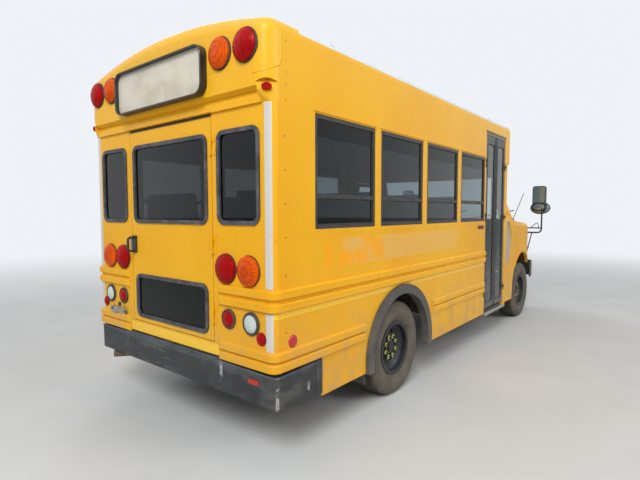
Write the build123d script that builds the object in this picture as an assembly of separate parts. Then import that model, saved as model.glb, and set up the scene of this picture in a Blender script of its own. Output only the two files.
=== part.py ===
from build123d import *
import os
from math import asin, cos, pi, sin, sqrt

# Short school bus on a cutaway van chassis. Sizes in mm.
# X runs to the bus's left, the front faces -Y and Z is up; the wheels stand on Z = 0.
# A station is a distance forward from the rear wall's outer face.

# Overall
BODY_WIDTH = 2030.0
WHEELBASE = 3531.0
REAR_AXLE_S = 1445.0
FRONT_END_S = 5905.0
REAR_REACH = 93.0
HALF = BODY_WIDTH / 2
FRONT_AXLE_S = REAR_AXLE_S + WHEELBASE
REAR_Y = (FRONT_END_S + REAR_REACH) / 2 - REAR_REACH

# Body shell
WALL = 40.0
GAP = 6.0
SKIRT_Z = 324.0
REAR_SKIRT_Z = 589.0
BELT_Z = 1350.0
CANT_Z = 2091.0
PAINT_Z = 2505.0
ROOF_Z = 2668.0
CROWN_R = 3990.0
EDGE_R = 80.0
CORNER_R = 39.0
BODY_FRONT_S = 4042.0
LEFT_WALL_END_S = 3500.0

# Side windows, the same four on both sides
WINDOW_COUNT = 4
WINDOW_FIRST_S = 358.0
WINDOW_PITCH = 762.0
WINDOW_WIDTH = 684.0
WINDOW_SILL_Z = 1382.0
WINDOW_HEAD_Z = 2084.0
WINDOW_MID_Z = 1585.0
FRAME_BAR = 26.0
FRAME_DEPTH = 28.0
GLASS = 5.0

# Rear wall and emergency door
REAR_DOOR_HALF = 481.0
REAR_DOOR_SILL_Z = 676.0
REAR_DOOR_HEAD_Z = 2085.0
REAR_PANE_R = 62.0
REAR_GLASS_S = 5.0
SEAL = 26.0
SEAL_PROUD = 9.0
HANDLE_Z0 = 1187.0
HANDLE_Z1 = 1315.0
HANDLE_PLATE = 14.0
HANDLE_REACH = 60.0

# Caps
CAP_PROUD = 45.0
CAP_CORNER_R = 100.0
REAR_FLANGE_S = 127.0
CAP_CREST_Z = 2175.0
FOOT_Z = CAP_CREST_Z - 24
JAMB_S = 4130.0
CAP_FRONT_S = 4205.0
CAP_NOSE_S = 4420.0
CAP_NOSE_HALF = HALF - 155
CAP_NOSE_Z = 2560.0
CAP_NOSE_R = 150.0
FAIRING_Z = 1935.0
FAIRING_SKIN = 20.0
LEDGE_HALF = HALF - 78
BROW_Z = 2138.0
BROW_A = 94.0
BROW_B = 74.0
BROW_DEPTH = 30.0
MARKER_A = 29.0
MARKER_B = 20.0
MARKER_Z = 2164.0

# Entrance door, two leaves
ENTRY_S0 = 3365.0
ENTRY_S1 = BODY_FRONT_S
ENTRY_Z0 = 369.0
ENTRY_Z1 = 2354.0
LEAF_THICK = 34.0
LEAF_RECESS = 6.0
ENTRY_STILE = 52.0
ENTRY_GLASS_INSET = 5.0

# Floor
FLOOR_Z = 672.0
FLOOR_THICK = 34.0
STEP_X = -560.0
STEP_Z = 340.0
STEP_MID_Z = 506.0
WELL_SKIN = 12.0

# Seats
AISLE_HALF = 215.0
SEAT_Z = 330.0
SEAT_PAD = 110.0
SEAT_BACK_Z = 1010.0
DRIVER_SEAT_X = 485.0
DRIVER_SEAT_HALF = 235.0
DRIVER_SEAT_S = 3640.0
COLUMN = 170.0
WHEEL_RIM_R = 190.0

# Wheel boxes
WHEEL_BOX_Z = 872.0
WHEEL_BOX_X = 690.0
WHEEL_BOX_HALF = 480.0
WHEEL_BOX_SKIN = 14.0

# Wheels
TYRE_R = 382.0
TYRE_WIDTH = 245.0
RIM_R = 203.0
RIM_WIDTH = 184.0
BEAD = 12.0
TRACK_FRONT = 1724.0
TRACK_REAR = 1718.0
ARCH_Z = 397.0
REAR_ARCH_A = 446.0
REAR_ARCH_B = 437.0
FLARE_WIDTH = 74.0
FLARE_PROUD = 26.0
FLAP_WIDTH = 290.0
FLAP_BACK = 20.0
FLAP_THICK = 8.0
FLAP_Z = 215.0
FRONT_ARCH_A = 456.0
FRONT_ARCH_B = 528.0
LUGS = 8
LUG_CIRCLE_R = 82.5
HAND_HOLES = 6
HAND_HOLE_R = 130.0
KINGPIN_X = TRACK_FRONT / 2 - 92
KINGPIN_R = 17.0
EYE_R = 29.0
BEAM_DROP = 66.0
BEAM_RISE = 6.0
YOKE_PLATE = 19.0
SPINDLE_R = 24.0
HUB_R = 58.0
HUB_BACK = -30.0
HUB_FRONT = 50.0
HUB_CAP = 14.0
HUB_CAP_R = 40.0
HUB_DEPTH = 14.0

# Cab
CAB_HALF = HALF - 25
CAB_SKIN = 40.0
CAB_BELT_Z = 1361.0
CAB_BASE_HALF = CAB_HALF - 12
PILLAR_BASE_HALF = CAB_HALF - 24
PILLAR_BASE_S = 4611.0
SCREEN_BASE_S = 4770.0
CAB_TOP_HALF = CAB_HALF - 155
PILLAR_TOP_HALF = CAB_HALF - 171
PILLAR_TOP_S = 4131.0
SCREEN_TOP_S = 4250.0
SCREEN_Z0 = 1392.0
SCREEN_Z1 = 1925.0
SCREEN_HALF_BASE = CAB_HALF - 85
SCREEN_HALF_TOP = CAB_HALF - 190
VISION_BACK_S = 4246.0
VISION_FRONT_S = 4482.0
VISION_Z0 = 728.0
VISION_Z1 = 1425.0
DRIVER_S0 = 3546.0
DRIVER_BACK_GAP = 14.0
DRIVER_S1 = 4436.0
DRIVER_Z0 = 404.0
DRIVER_Z1 = 1886.0
DRIVER_LEAN_Z = 1510.0
DRIVER_LEAN = 1.52
DRIVER_SILL = 34.0
DRIVER_POST = 42.0

# Nose
NOSE_S = 5780.0
NOSE_HALF = CAB_HALF - 290
NOSE_BEND_S = 5130.0
NOSE_BOTTOM_Z = 742.0
FENDER_BACK_S = 4490.0
NOSE_SKIN = 32.0
SHOULDER_R = 60.0
HOOD_HALF = CAB_HALF - 340
HOOD_BACK_S = 4880.0
HOOD_FRONT_S = 5740.0
HOOD_BACK_GAP = 18.0
HOOD_AXIS_S = HOOD_BACK_S - 4
HOOD_AXIS_Z = 1340.0
HOOD_HINGE_X = HOOD_HALF - 90
HOOD_HINGE = 60.0
NOSE_FACE_Z = 1090.0
COWL_S = 4780.0
GRILLE_HALF = NOSE_HALF - 265
GRILLE_Z0 = 800.0
GRILLE_Z1 = 1050.0
GRILLE_RIM = 22.0
GRILLE_BARS = 5
GRILLE_BAR = 18.0
GRILLE_POSTS = 4
HEADLAMP_X0 = GRILLE_HALF + 22
HEADLAMP_X1 = NOSE_HALF - 26
HEADLAMP_Z0 = 885.0
HEADLAMP_Z1 = 1050.0
TURN_Z0 = 800.0
TURN_Z1 = 866.0
FRONT_BUMPER_Z0 = 500.0
FRONT_BUMPER_Z1 = 735.0
FRONT_BUMPER_SKIN = 10.0
PLATE_HOLES = 177.8
PLATE_HOLE_R = 3.5

# Rear bumper
BUMPER_FACE = 18.0
BUMPER_STAND = 5.0
BUMPER_SKIN = 6.0
BUMPER_STEP_X = 520.0
BUMPER_BEND_X = 564.0
BUMPER_CORNER_S = 14.0
BUMPER_END_S = 417.0
BUMPER_TOP_Z = 578.0
BUMPER_RAIL_Z = 568.0
BUMPER_CORNER_TOP_Z = 552.0
BUMPER_END_TOP_Z = 566.0
BUMPER_LOW_Z = 380.0
BUMPER_CORNER_LOW_Z = 362.0
BUMPER_END_LOW_Z = 340.0

# Hinges
PIN_R = 4.0
BARREL_R = 9.0
PIN_SLACK = 0.3

# Rails pressed on the sides and the rear
RAIL_BASE = 62.0
RAIL_CREST = 22.0
RAIL_ROUND = 8.0
RAIL_PROUD = 19.0
RAIL_TIP = 26.0
UPPER_RAILS_Z = (1020.0, 947.0)
LOWER_RAILS_Z = (667.0, 603.0)

# Blank sign boards on both caps
SIGN_HALF = 505.0
SIGN_Z0 = 2195.0
SIGN_Z1 = 2482.0
SIGN_THICK = 22.0

# Stop arm on the left side
STOP_HINGE_S = 3390.0
STOP_Z = 1190.0
STOP_HALF = 225.0
STOP_STAND = 42.0
STOP_BARREL = 120.0

# Mirrors, one on each front fender
MIRROR_S = 5500.0
MIRROR_POST_X = HALF + 97
MIRROR_HEAD_X = HALF + 62
MIRROR_HEAD_WIDTH = 180.0
MIRROR_HEAD_DEPTH = 80.0
MIRROR_HEAD_Z0 = 1500.0
MIRROR_HEAD_Z1 = 1862.0
CROSS_VIEW_A = 138.0
CROSS_VIEW_B = 92.0
CROSS_VIEW_Z = 1540.0
CROSS_VIEW_AHEAD = 58.0
ARM_Z = 1175.0
ARM_TOP_Z = 1243.0
ARM_R = 11.0
STAY_R = 7.5
STAY_Z = 838.0

# Chassis
CHASSIS_HALF = 430.0
FRAME_END_S = 5560.0
CHASSIS_Z0 = 470.0
CHASSIS_Z1 = 620.0
CHASSIS_FLANGE = 60.0
CHASSIS_WEB = 8.0
GEARBOX_S = 4436.0
AXLE_R = 42.0
PIPE_R = 28.0
PIPE_X = -200.0
PIPE_Z = 388.0
TAIL_X = 860.0
TAIL_Z = 326.0
MUFFLER = 500.0
MUFFLER_S = 2500.0
TANK_X0 = CHASSIS_HALF + 40
TANK_X1 = HALF - 115
TANK_S0 = 2150.0
TANK_S1 = 3050.0
TANK_Z0 = 370.0
TANK_Z1 = 560.0
SPRING_X = 520.0
SPRING_WIDTH = 64.0
SPRING_HALF = 640.0
SPRING_END_Z = 466.0


def station(s):
    return REAR_Y - s


def rect(a0, a1, b0, b1, r=0.0):
    """A rectangle from its edges, with corner radius r."""
    shape = RectangleRounded(a1 - a0, b1 - b0, r) if r > 0 else Rectangle(a1 - a0, b1 - b0)
    return Pos((a0 + a1) / 2, (b0 + b1) / 2) * shape


def poly(*points):
    return make_face(Polyline(*points, close=True))


def mirrored(points):
    """A closed outline from its right half, given from the lowest point upwards."""
    return list(points) + [(-a, b) for a, b in reversed(points)]


def lengthwise(sketch, s0, s1):
    """Extrude a sketch in (x, z) from station s0 forward to s1."""
    plane = Plane(origin=(0, station(s0), 0), x_dir=(1, 0, 0), z_dir=(0, -1, 0))
    return extrude(plane * sketch, amount=s1 - s0)


def crosswise(sketch, x0, x1):
    """Extrude a sketch in (station, z) from x0 to x1."""
    plane = Plane(origin=(x1, REAR_Y, 0), x_dir=(0, -1, 0), z_dir=(-1, 0, 0))
    return extrude(plane * sketch, amount=x1 - x0)


def upright(sketch, z0, z1):
    """Extrude a sketch in (x, station) from height z0 to z1."""
    plane = Plane(origin=(0, REAR_Y, z1), x_dir=(1, 0, 0), z_dir=(0, 0, -1))
    return extrude(plane * sketch, amount=z1 - z0)


def block(x0, x1, s0, s1, z0, z1):
    return upright(rect(x0, x1, s0, s1), z0, z1)


def mirror_x(shape):
    return mirror(shape, about=Plane.YZ)


def both_sides(shape):
    return [shape, mirror_x(shape)]


def ellipse(s, z, a, b):
    return Pos(s, z) * Ellipse(a, b)


def arch_cut(s, a, b, x0, x1):
    """The space of a wheel arch: half an ellipse with a straight mouth below it."""
    mouth = rect(s - a, s + a, 0, ARCH_Z)
    return crosswise(ellipse(s, ARCH_Z, a, b) + mouth, x0, x1)


def tube(points, r, bend):
    """A round bar or pipe along (x, station, z) points with bends of one radius."""
    world = [(x, station(s), z) for x, s, z in points]
    path = FilletPolyline(*world, radius=bend) if len(world) > 2 else Line(*world)
    plane = Plane(origin=path @ 0, z_dir=path % 0)
    return sweep(plane * Circle(r), path=path)


# Hinges


def barrel(x, s, z0, z1, r):
    return Pos(x, station(s), (z0 + z1) / 2) * Cylinder(r, z1 - z0)


def hinge(x, s, z, length, fixed_leaf, moving_leaf):
    """An upright butt hinge as its fixed half, with the pin, and its moving half.

    Each leaf is a rectangle x0, x1, s0, s1 in plan that joins the barrel to its panel.
    """
    third = length / 3
    z0 = z - length / 2
    z1 = z + length / 2
    fixed = barrel(x, s, z0, z1, PIN_R)
    for low in (z0, z1 - third):
        fixed += barrel(x, s, low, low + third, BARREL_R)
        fixed += block(*fixed_leaf, low, low + third)
    low = z0 + third + PIN_SLACK
    high = z1 - third - PIN_SLACK
    moving = barrel(x, s, low, high, BARREL_R) + block(*moving_leaf, low, high)
    moving -= barrel(x, s, low - 1, high + 1, PIN_R + PIN_SLACK)
    return fixed, moving


def rear_door_hinges():
    x = -REAR_DOOR_HALF - GAP / 2
    s = -BARREL_R - 1
    fixed_leaf = (x - 35, x, -4, 0)
    moving_leaf = (x, x + 35, -4, 0)
    return [hinge(x, s, z, 120, fixed_leaf, moving_leaf) for z in (850, 1290, 1900)]


def entry_hinges(front):
    """Hinges of one entrance leaf at its own jamb, on the outer face."""
    x = -HALF - BARREL_R - 1
    s = ENTRY_S1 - 2 if front else ENTRY_S0 + 2
    out = 26 if front else -26
    jamb = (-HALF - 4, -HALF, min(s, s + out), max(s, s + out))
    leaf = (-HALF - 4, -HALF + LEAF_RECESS, min(s, s - out), max(s, s - out))
    return [hinge(x, s, z, 90, jamb, leaf) for z in (560, 1420, 2030)]


def driver_hinges():
    x = CAB_HALF + BARREL_R + 1
    s = DRIVER_S1 + GAP / 2
    jamb = (CAB_HALF, CAB_HALF + 4, s, s + 30)
    leaf = (CAB_HALF, CAB_HALF + 4, s - 30, s)
    return [hinge(x, s, z, 80, jamb, leaf) for z in (620, 1180)]


# Body section


def body_section(inset, z0):
    """The body's outline in (x, z) above height z0, moved in by inset all round."""
    half = HALF - inset
    crown = CROWN_R - inset
    edge = EDGE_R - inset
    centre_z = ROOF_Z - CROWN_R
    edge_x = HALF - EDGE_R
    edge_z = centre_z + sqrt((CROWN_R - EDGE_R) ** 2 - edge_x ** 2)
    lean = asin(edge_x / (CROWN_R - EDGE_R))
    meet = (crown * sin(lean), centre_z + crown * cos(lean))
    mid_turn = (pi / 2 + lean) / 2
    middle = (edge_x + edge * sin(mid_turn), edge_z + edge * cos(mid_turn))
    right = ThreePointArc((half, edge_z), middle, meet)
    top = ThreePointArc(meet, (0, ROOF_Z - inset), (-meet[0], meet[1]))
    left = ThreePointArc((-meet[0], meet[1]), (-middle[0], middle[1]), (-half, edge_z))
    foot = Polyline((-half, edge_z), (-half, z0), (half, z0), (half, edge_z))
    return make_face([right, top, left, foot])


def body_shell(s0, s1):
    ring = body_section(0, CANT_Z) - body_section(WALL, CANT_Z)
    return lengthwise(ring, s0, s1)


def roof_split(shape, above):
    size = BODY_WIDTH + 2 * WALL
    z0 = PAINT_Z if above else CANT_Z - WALL
    z1 = ROOF_Z + WALL if above else PAINT_Z
    return shape & block(-size, size, 0, BODY_FRONT_S + WALL, z0, z1)


def entry_hole(grow=0.0):
    z1 = ENTRY_Z1 + grow
    return block(-HALF - WALL, STEP_X, ENTRY_S0 - grow, ENTRY_S1 + grow, 0, z1)


def make_roof():
    return roof_split(body_shell(REAR_FLANGE_S, BODY_FRONT_S), True)


def make_roof_sides():
    return roof_split(body_shell(REAR_FLANGE_S, BODY_FRONT_S), False) - entry_hole()


def make_side(sign):
    """The lower side panel, from the rear corner to the entrance or the driver's door."""
    end = ENTRY_S0 if sign < 0 else LEFT_WALL_END_S
    tuck = BUMPER_END_S + 1
    outline = poly(
        (WALL, REAR_SKIRT_Z), (tuck, REAR_SKIRT_Z), (tuck, SKIRT_Z),
        (end, SKIRT_Z), (end, BELT_Z), (WALL, BELT_Z),
    )
    panel = crosswise(outline, HALF - WALL, HALF)
    grow = FLARE_WIDTH - 14
    panel -= arch_cut(REAR_AXLE_S, REAR_ARCH_A + grow, REAR_ARCH_B + grow, HALF - 2 * WALL, HALF + WALL)
    if sign > 0:
        return panel
    panel = mirror_x(panel)
    for fixed, moving in entry_hinges(False)[:1]:
        panel += fixed
    return panel


def window_stations():
    return [WINDOW_FIRST_S + i * WINDOW_PITCH for i in range(WINDOW_COUNT)]


def make_window_bands():
    bands = []
    for sign, end in ((-1, ENTRY_S0), (1, LEFT_WALL_END_S)):
        outline = rect(WALL, end, BELT_Z, CANT_Z)
        for s in window_stations():
            outline -= rect(s, s + WINDOW_WIDTH, WINDOW_SILL_Z, WINDOW_HEAD_Z, 12)
        band = crosswise(outline, HALF - WALL, HALF)
        if sign < 0:
            band = mirror_x(band)
            for fixed, moving in entry_hinges(False)[1:]:
                band += fixed
        bands.append(band)
    return bands


def make_window_frames():
    """Split sash frames: an outer frame with a middle bar, one in each side window."""
    frames = []
    x1 = HALF - 4
    x0 = x1 - FRAME_DEPTH
    for s in window_stations():
        s1 = s + WINDOW_WIDTH
        outline = rect(s, s1, WINDOW_SILL_Z, WINDOW_HEAD_Z, 12)
        outline -= rect(s + FRAME_BAR, s1 - FRAME_BAR, WINDOW_SILL_Z + FRAME_BAR, WINDOW_MID_Z - 11)
        outline -= rect(s + FRAME_BAR, s1 - FRAME_BAR, WINDOW_MID_Z + 11, WINDOW_HEAD_Z - FRAME_BAR)
        frames += both_sides(crosswise(outline, x0, x1))
    return frames


def make_side_glass():
    panes = []
    x = HALF - 4 - FRAME_DEPTH / 2
    for s in window_stations():
        a0 = s + FRAME_BAR
        a1 = s + WINDOW_WIDTH - FRAME_BAR
        lower = rect(a0, a1, WINDOW_SILL_Z + FRAME_BAR, WINDOW_MID_Z - 11)
        upper = rect(a0, a1, WINDOW_MID_Z + 11, WINDOW_HEAD_Z - FRAME_BAR)
        panes += both_sides(crosswise(lower, x - GLASS / 2, x + GLASS / 2))
        panes += both_sides(crosswise(upper, x - GLASS / 2, x + GLASS / 2))
    return panes


# Rear wall: openings as x0, x1, z0, z1
REAR_SIDE_PANE = (REAR_DOOR_HALF + 55, HALF - 102, 1411.0, 1977.0)
DOOR_UPPER_PANE = (38 - REAR_DOOR_HALF, REAR_DOOR_HALF - 38, 1409.0, 1975.0)
DOOR_LOWER_PANE = (48 - REAR_DOOR_HALF, REAR_DOOR_HALF - 48, 708.0, 1033.0)


def pane_hole(pane):
    return rect(*pane, REAR_PANE_R)


def inner_pane(pane):
    x0, x1, z0, z1 = pane
    return rect(x0 + SEAL, x1 - SEAL, z0 + SEAL, z1 - SEAL, REAR_PANE_R - SEAL)


def seal_ring(pane):
    return lengthwise(pane_hole(pane) - inner_pane(pane), -SEAL_PROUD, WALL)


def seal_glass(pane):
    return lengthwise(inner_pane(pane), REAR_GLASS_S, REAR_GLASS_S + GLASS)


def make_rear_wall():
    wall = block(-HALF, HALF, 0, WALL, REAR_SKIRT_Z, CANT_Z)
    corners = wall.edges().filter_by(Axis.Z).group_by(Axis.Y)[-1]
    wall = fillet(corners, CORNER_R)
    door = rect(
        -REAR_DOOR_HALF - GAP, REAR_DOOR_HALF + GAP, REAR_DOOR_SILL_Z - GAP, CANT_Z + GAP,
    )
    wall -= lengthwise(door, -WALL, 2 * WALL)
    for pane in both_sides(lengthwise(pane_hole(REAR_SIDE_PANE), -WALL, 2 * WALL)):
        wall -= pane
    for fixed, moving in rear_door_hinges():
        wall += fixed
    return wall


def make_rear_seals():
    return both_sides(seal_ring(REAR_SIDE_PANE))


def make_rear_glass():
    return both_sides(seal_glass(REAR_SIDE_PANE))


def make_emergency_door():
    door = lengthwise(rect(-REAR_DOOR_HALF, REAR_DOOR_HALF, REAR_DOOR_SILL_Z, REAR_DOOR_HEAD_Z), 0, WALL)
    for pane in (DOOR_UPPER_PANE, DOOR_LOWER_PANE):
        door -= lengthwise(pane_hole(pane), -WALL, 2 * WALL)
    for fixed, moving in rear_door_hinges():
        door += moving
    return door + door_handle()


def door_handle():
    """A plate near the free edge with a D grip that stands off it."""
    x1 = REAR_DOOR_HALF - 11
    x0 = x1 - 53
    x = (x0 + x1) / 2
    plate = lengthwise(rect(x0, x1, HANDLE_Z0, HANDLE_Z1, 8), -HANDLE_PLATE, 0)
    top = HANDLE_Z1 - 15
    low = HANDLE_Z0 + 13
    near = -HANDLE_PLATE
    far = -HANDLE_REACH
    grip = [(x, near, top), (x, far, top), (x, far, low), (x, near, low)]
    return plate + tube(grip, 9, 20)


def make_emergency_seals():
    return [seal_ring(DOOR_UPPER_PANE), seal_ring(DOOR_LOWER_PANE)]


def make_emergency_glass():
    return [seal_glass(DOOR_UPPER_PANE), seal_glass(DOOR_LOWER_PANE)]


def make_rear_cap():
    """A moulded cap, proud of the wall, with a drip ledge along its foot and a brow at each corner lamp."""
    outer = lengthwise(body_section(0, CANT_Z), -CAP_PROUD, REAR_FLANGE_S)
    rim = outer.faces().sort_by(Axis.Y)[-1].edges().filter_by(lambda e: e.center().Z > CANT_Z + 1)
    outer = fillet(rim, CAP_CORNER_R)
    inner = lengthwise(body_section(WALL, CANT_Z), 0, REAR_FLANGE_S)
    cap = outer - inner - crosswise(cap_ledge(), -LEDGE_HALF, LEDGE_HALF)
    around = block(LEDGE_HALF, HALF + 10, -CAP_PROUD - 5, REAR_FLANGE_S - 5, CANT_Z - 5, FOOT_Z)
    for corner in both_sides(around - cap_foot()):
        cap -= corner
    for brow in both_sides(cap_brow()):
        cap -= brow
    return cap


def cap_ledge():
    """The channel under the crest: an overhang, a sloping gutter and an upright strip."""
    out = -CAP_PROUD - 5
    return poly(
        (out, CANT_Z - 5), (-16, CANT_Z - 5), (-16, CANT_Z + 34), (-6, CAP_CREST_Z - 16),
        (-CAP_PROUD + 6, CAP_CREST_Z), (out, CAP_CREST_Z),
    )


def corner_outline(radius, back):
    """The rear left corner in (x, station), rounded with radius, from the ledge's end to the side."""
    bend = radius * (1 - sqrt(0.5))
    x0 = HALF - CAP_CORNER_R - 20
    turn = ThreePointArc((HALF - radius, back), (HALF - bend, back + bend), (HALF, back + radius))
    end = REAR_FLANGE_S
    rest = Polyline((HALF, back + radius), (HALF, end), (x0, end), (x0, back), (HALF - radius, back))
    return make_face([turn, rest])


def cap_foot():
    """The corner under the crest, which slopes and narrows down to the wall's own rounding."""
    low = at_height(corner_outline(CORNER_R, 0), CANT_Z)
    high = at_height(corner_outline(CAP_CORNER_R, -CAP_PROUD), FOOT_Z)
    return loft([low, high], ruled=True)


def corner_plane():
    """Stands on the cap's rounded left corner, halfway round, at the brow's foot, facing out."""
    reach = HALF - CAP_CORNER_R + CAP_CORNER_R * cos(pi / 4)
    back = -CAP_PROUD + CAP_CORNER_R - CAP_CORNER_R * sin(pi / 4)
    return Plane(origin=(reach, station(back), BROW_Z), x_dir=(-1, 1, 0), z_dir=(1, 1, 0))


def cap_brow():
    """A pocket with an arched top that deepens upwards, over each corner lamp."""
    arch = extrude(corner_plane() * Ellipse(BROW_A, BROW_B), amount=BROW_DEPTH, both=True)
    return arch - brow_floor()


def brow_floor():
    """The solid behind the pocket's sloping floor, which seats the marker lamp."""
    low = -BROW_B - 2
    side = poly(
        (-70, low), (BROW_DEPTH + 5, low), (BROW_DEPTH + 5, 0), (0, 0), (-BROW_DEPTH, BROW_B), (-70, BROW_B),
    )
    frame = corner_plane()
    origin = frame.origin + frame.x_dir * (2 * BROW_A)
    across = Plane(origin=origin, x_dir=frame.z_dir, z_dir=frame.x_dir * -1)
    return extrude(across * side, amount=4 * BROW_A)


def nose_section(inset, z0):
    """The front cap's narrower front outline in (x, z)."""
    half = CAP_NOSE_HALF - inset
    z1 = CAP_NOSE_Z - inset
    r = CAP_NOSE_R - inset
    lean = asin((half - r) / (CROWN_R - r))
    centre_z = z1 - CROWN_R
    meet = (CROWN_R * sin(lean), centre_z + CROWN_R * cos(lean))
    edge_z = centre_z + (CROWN_R - r) * cos(lean)
    mid_turn = (pi / 2 + lean) / 2
    middle = (half - r + r * sin(mid_turn), edge_z + r * cos(mid_turn))
    right = ThreePointArc((half, edge_z), middle, meet)
    top = ThreePointArc(meet, (0, z1), (-meet[0], meet[1]))
    left = ThreePointArc((-meet[0], meet[1]), (-middle[0], middle[1]), (-half, edge_z))
    foot = Polyline((-half, edge_z), (-half, z0), (half, z0), (half, edge_z))
    return make_face([right, top, left, foot])


def at_station(sketch, s):
    return Plane(origin=(0, station(s), 0), x_dir=(1, 0, 0), z_dir=(0, -1, 0)) * sketch


def make_front_cap():
    outer = loft([
        at_station(body_section(0, CANT_Z), CAP_FRONT_S),
        at_station(nose_section(0, CANT_Z), CAP_NOSE_S),
    ], ruled=True)
    inner = loft([
        at_station(body_section(WALL, CANT_Z), CAP_FRONT_S - 1),
        at_station(nose_section(WALL, CANT_Z), CAP_NOSE_S - WALL),
    ], ruled=True)
    flange = body_shell(BODY_FRONT_S, CAP_FRONT_S)
    return flange + (outer - inner)


# Rails


def rail_sketch():
    """A pressed rib with sloping sides and a flat crest with rounded shoulders."""
    rib = poly(
        (0, -RAIL_BASE / 2), (RAIL_PROUD, -RAIL_CREST), (RAIL_PROUD, RAIL_CREST), (0, RAIL_BASE / 2),
    )
    return fillet(rib.vertices().group_by(Axis.X)[-1], RAIL_ROUND)


def corner_rail(s_end, z):
    """A rail on the left side from station s_end to the rear corner and in to the door."""
    door_edge = REAR_DOOR_HALF + 50
    start = (HALF, station(s_end), z)
    corner = (HALF, REAR_Y, z)
    finish = (door_edge, REAR_Y, z)
    path = FilletPolyline(start, corner, finish, radius=CORNER_R)
    plane = Plane(origin=start, x_dir=(1, 0, 0), z_dir=(0, 1, 0))
    sketch = plane * rail_sketch()
    out = -RAIL_PROUD - 1
    tip = poly((door_edge - 1, out), (door_edge + RAIL_TIP, out), (door_edge - 1, -3))
    return sweep(sketch, path=path) - upright(tip, z - RAIL_BASE, z + RAIL_BASE)


def straight_rail(s0, s1, z):
    plane = Plane(origin=(HALF, station(s0), z), x_dir=(1, 0, 0), z_dir=(0, -1, 0))
    sketch = rail_sketch()
    return extrude(plane * sketch, amount=s1 - s0)


def make_rub_rails():
    rails = []
    for z in UPPER_RAILS_Z:
        rails.append(corner_rail(LEFT_WALL_END_S - 10, z))
        rails.append(mirror_x(corner_rail(ENTRY_S0 - 10, z)))
    for z in LOWER_RAILS_Z:
        rails += both_sides(corner_rail(900, z))
        rails.append(straight_rail(2011, LEFT_WALL_END_S - 10, z))
        rails.append(mirror_x(straight_rail(2011, ENTRY_S0 - 30, z)))
    return rails


def make_arch_flares():
    a = REAR_ARCH_A
    b = REAR_ARCH_B
    ring = ellipse(REAR_AXLE_S, ARCH_Z, a + FLARE_WIDTH, b + FLARE_WIDTH)
    ring -= ellipse(REAR_AXLE_S, ARCH_Z, a, b)
    ring &= rect(REAR_AXLE_S - 600, REAR_AXLE_S + 600, SKIRT_Z - 10, ARCH_Z + 600)
    outer = crosswise(ring, HALF, HALF + FLARE_PROUD)
    lip = ellipse(REAR_AXLE_S, ARCH_Z, a + FLARE_WIDTH - 14, b + FLARE_WIDTH - 14)
    lip -= ellipse(REAR_AXLE_S, ARCH_Z, a, b)
    lip &= rect(REAR_AXLE_S - 600, REAR_AXLE_S + 600, SKIRT_Z - 10, ARCH_Z + 600)
    return both_sides(outer + crosswise(lip, HALF - WALL, HALF)) + both_sides(mud_flap())


def mud_flap():
    """A rubber flap that hangs from the floor behind each rear wheel."""
    s = REAR_AXLE_S - REAR_ARCH_A - FLAP_BACK
    x0 = HALF - WALL - FLAP_WIDTH
    return block(x0, HALF - WALL - GAP, s, s + FLAP_THICK, FLAP_Z, FLOOR_Z - FLOOR_THICK)


# Floor with wheel boxes and step well


def make_floor():
    half = HALF - WALL
    slab = block(-half, half, WALL, LEFT_WALL_END_S, FLOOR_Z - FLOOR_THICK, FLOOR_Z)
    inside = CAB_HALF - CAB_SKIN
    slab += block(-half, inside, LEFT_WALL_END_S, BODY_FRONT_S, FLOOR_Z - FLOOR_THICK, FLOOR_Z)
    slab += block(-inside, inside, BODY_FRONT_S, FENDER_BACK_S, FLOOR_Z - FLOOR_THICK, FLOOR_Z)
    slab += block(-700, 700, FENDER_BACK_S - 20, FENDER_BACK_S, FLOOR_Z, CAB_BELT_Z - 120)
    s0 = REAR_AXLE_S - WHEEL_BOX_HALF
    s1 = REAR_AXLE_S + WHEEL_BOX_HALF
    low = FLOOR_Z - FLOOR_THICK
    for side in both_sides(block(WHEEL_BOX_X, half, s0, s1, low, WHEEL_BOX_Z)):
        slab += side
    k = WHEEL_BOX_SKIN
    for side in both_sides(block(WHEEL_BOX_X + k, half, s0 + k, s1 - k, low, WHEEL_BOX_Z - k)):
        slab -= side
    well = block(-half, STEP_X, ENTRY_S0 + 35, ENTRY_S1, STEP_Z - WELL_SKIN, FLOOR_Z)
    steps = poly(
        (-half, FLOOR_Z + 1), (-half, STEP_Z), (-half + 190, STEP_Z), (-half + 190, STEP_MID_Z),
        (STEP_X - WELL_SKIN, STEP_MID_Z), (STEP_X - WELL_SKIN, FLOOR_Z + 1),
    )
    slab += well
    slab -= lengthwise(steps, ENTRY_S0 + 35 + WELL_SKIN, ENTRY_S1 - WELL_SKIN)
    under = poly(
        (-half + 190 + WELL_SKIN, 0), (-half + 190 + WELL_SKIN, STEP_MID_Z - WELL_SKIN),
        (STEP_X, STEP_MID_Z - WELL_SKIN), (STEP_X, 0),
    )
    slab -= lengthwise(under, ENTRY_S0 + 35, ENTRY_S1)
    return slab


# Cab


def cab_plan(inset, base):
    """The greenhouse's plan outline in (x, station) at the belt or at the top."""
    rear_half = (CAB_BASE_HALF if base else CAB_TOP_HALF) - inset
    half = (PILLAR_BASE_HALF if base else PILLAR_TOP_HALF) - inset
    corner_s = (PILLAR_BASE_S if base else PILLAR_TOP_S) - inset
    front_s = (SCREEN_BASE_S if base else SCREEN_TOP_S) - inset
    back = LEFT_WALL_END_S
    front = ThreePointArc((half, corner_s), (0, front_s), (-half, corner_s))
    rest = Polyline((-half, corner_s), (-rear_half, back), (rear_half, back), (half, corner_s))
    return make_face([front, rest])


def at_height(sketch, z):
    return Plane(origin=(0, REAR_Y, z), x_dir=(1, 0, 0), z_dir=(0, 0, -1)) * sketch


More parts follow.
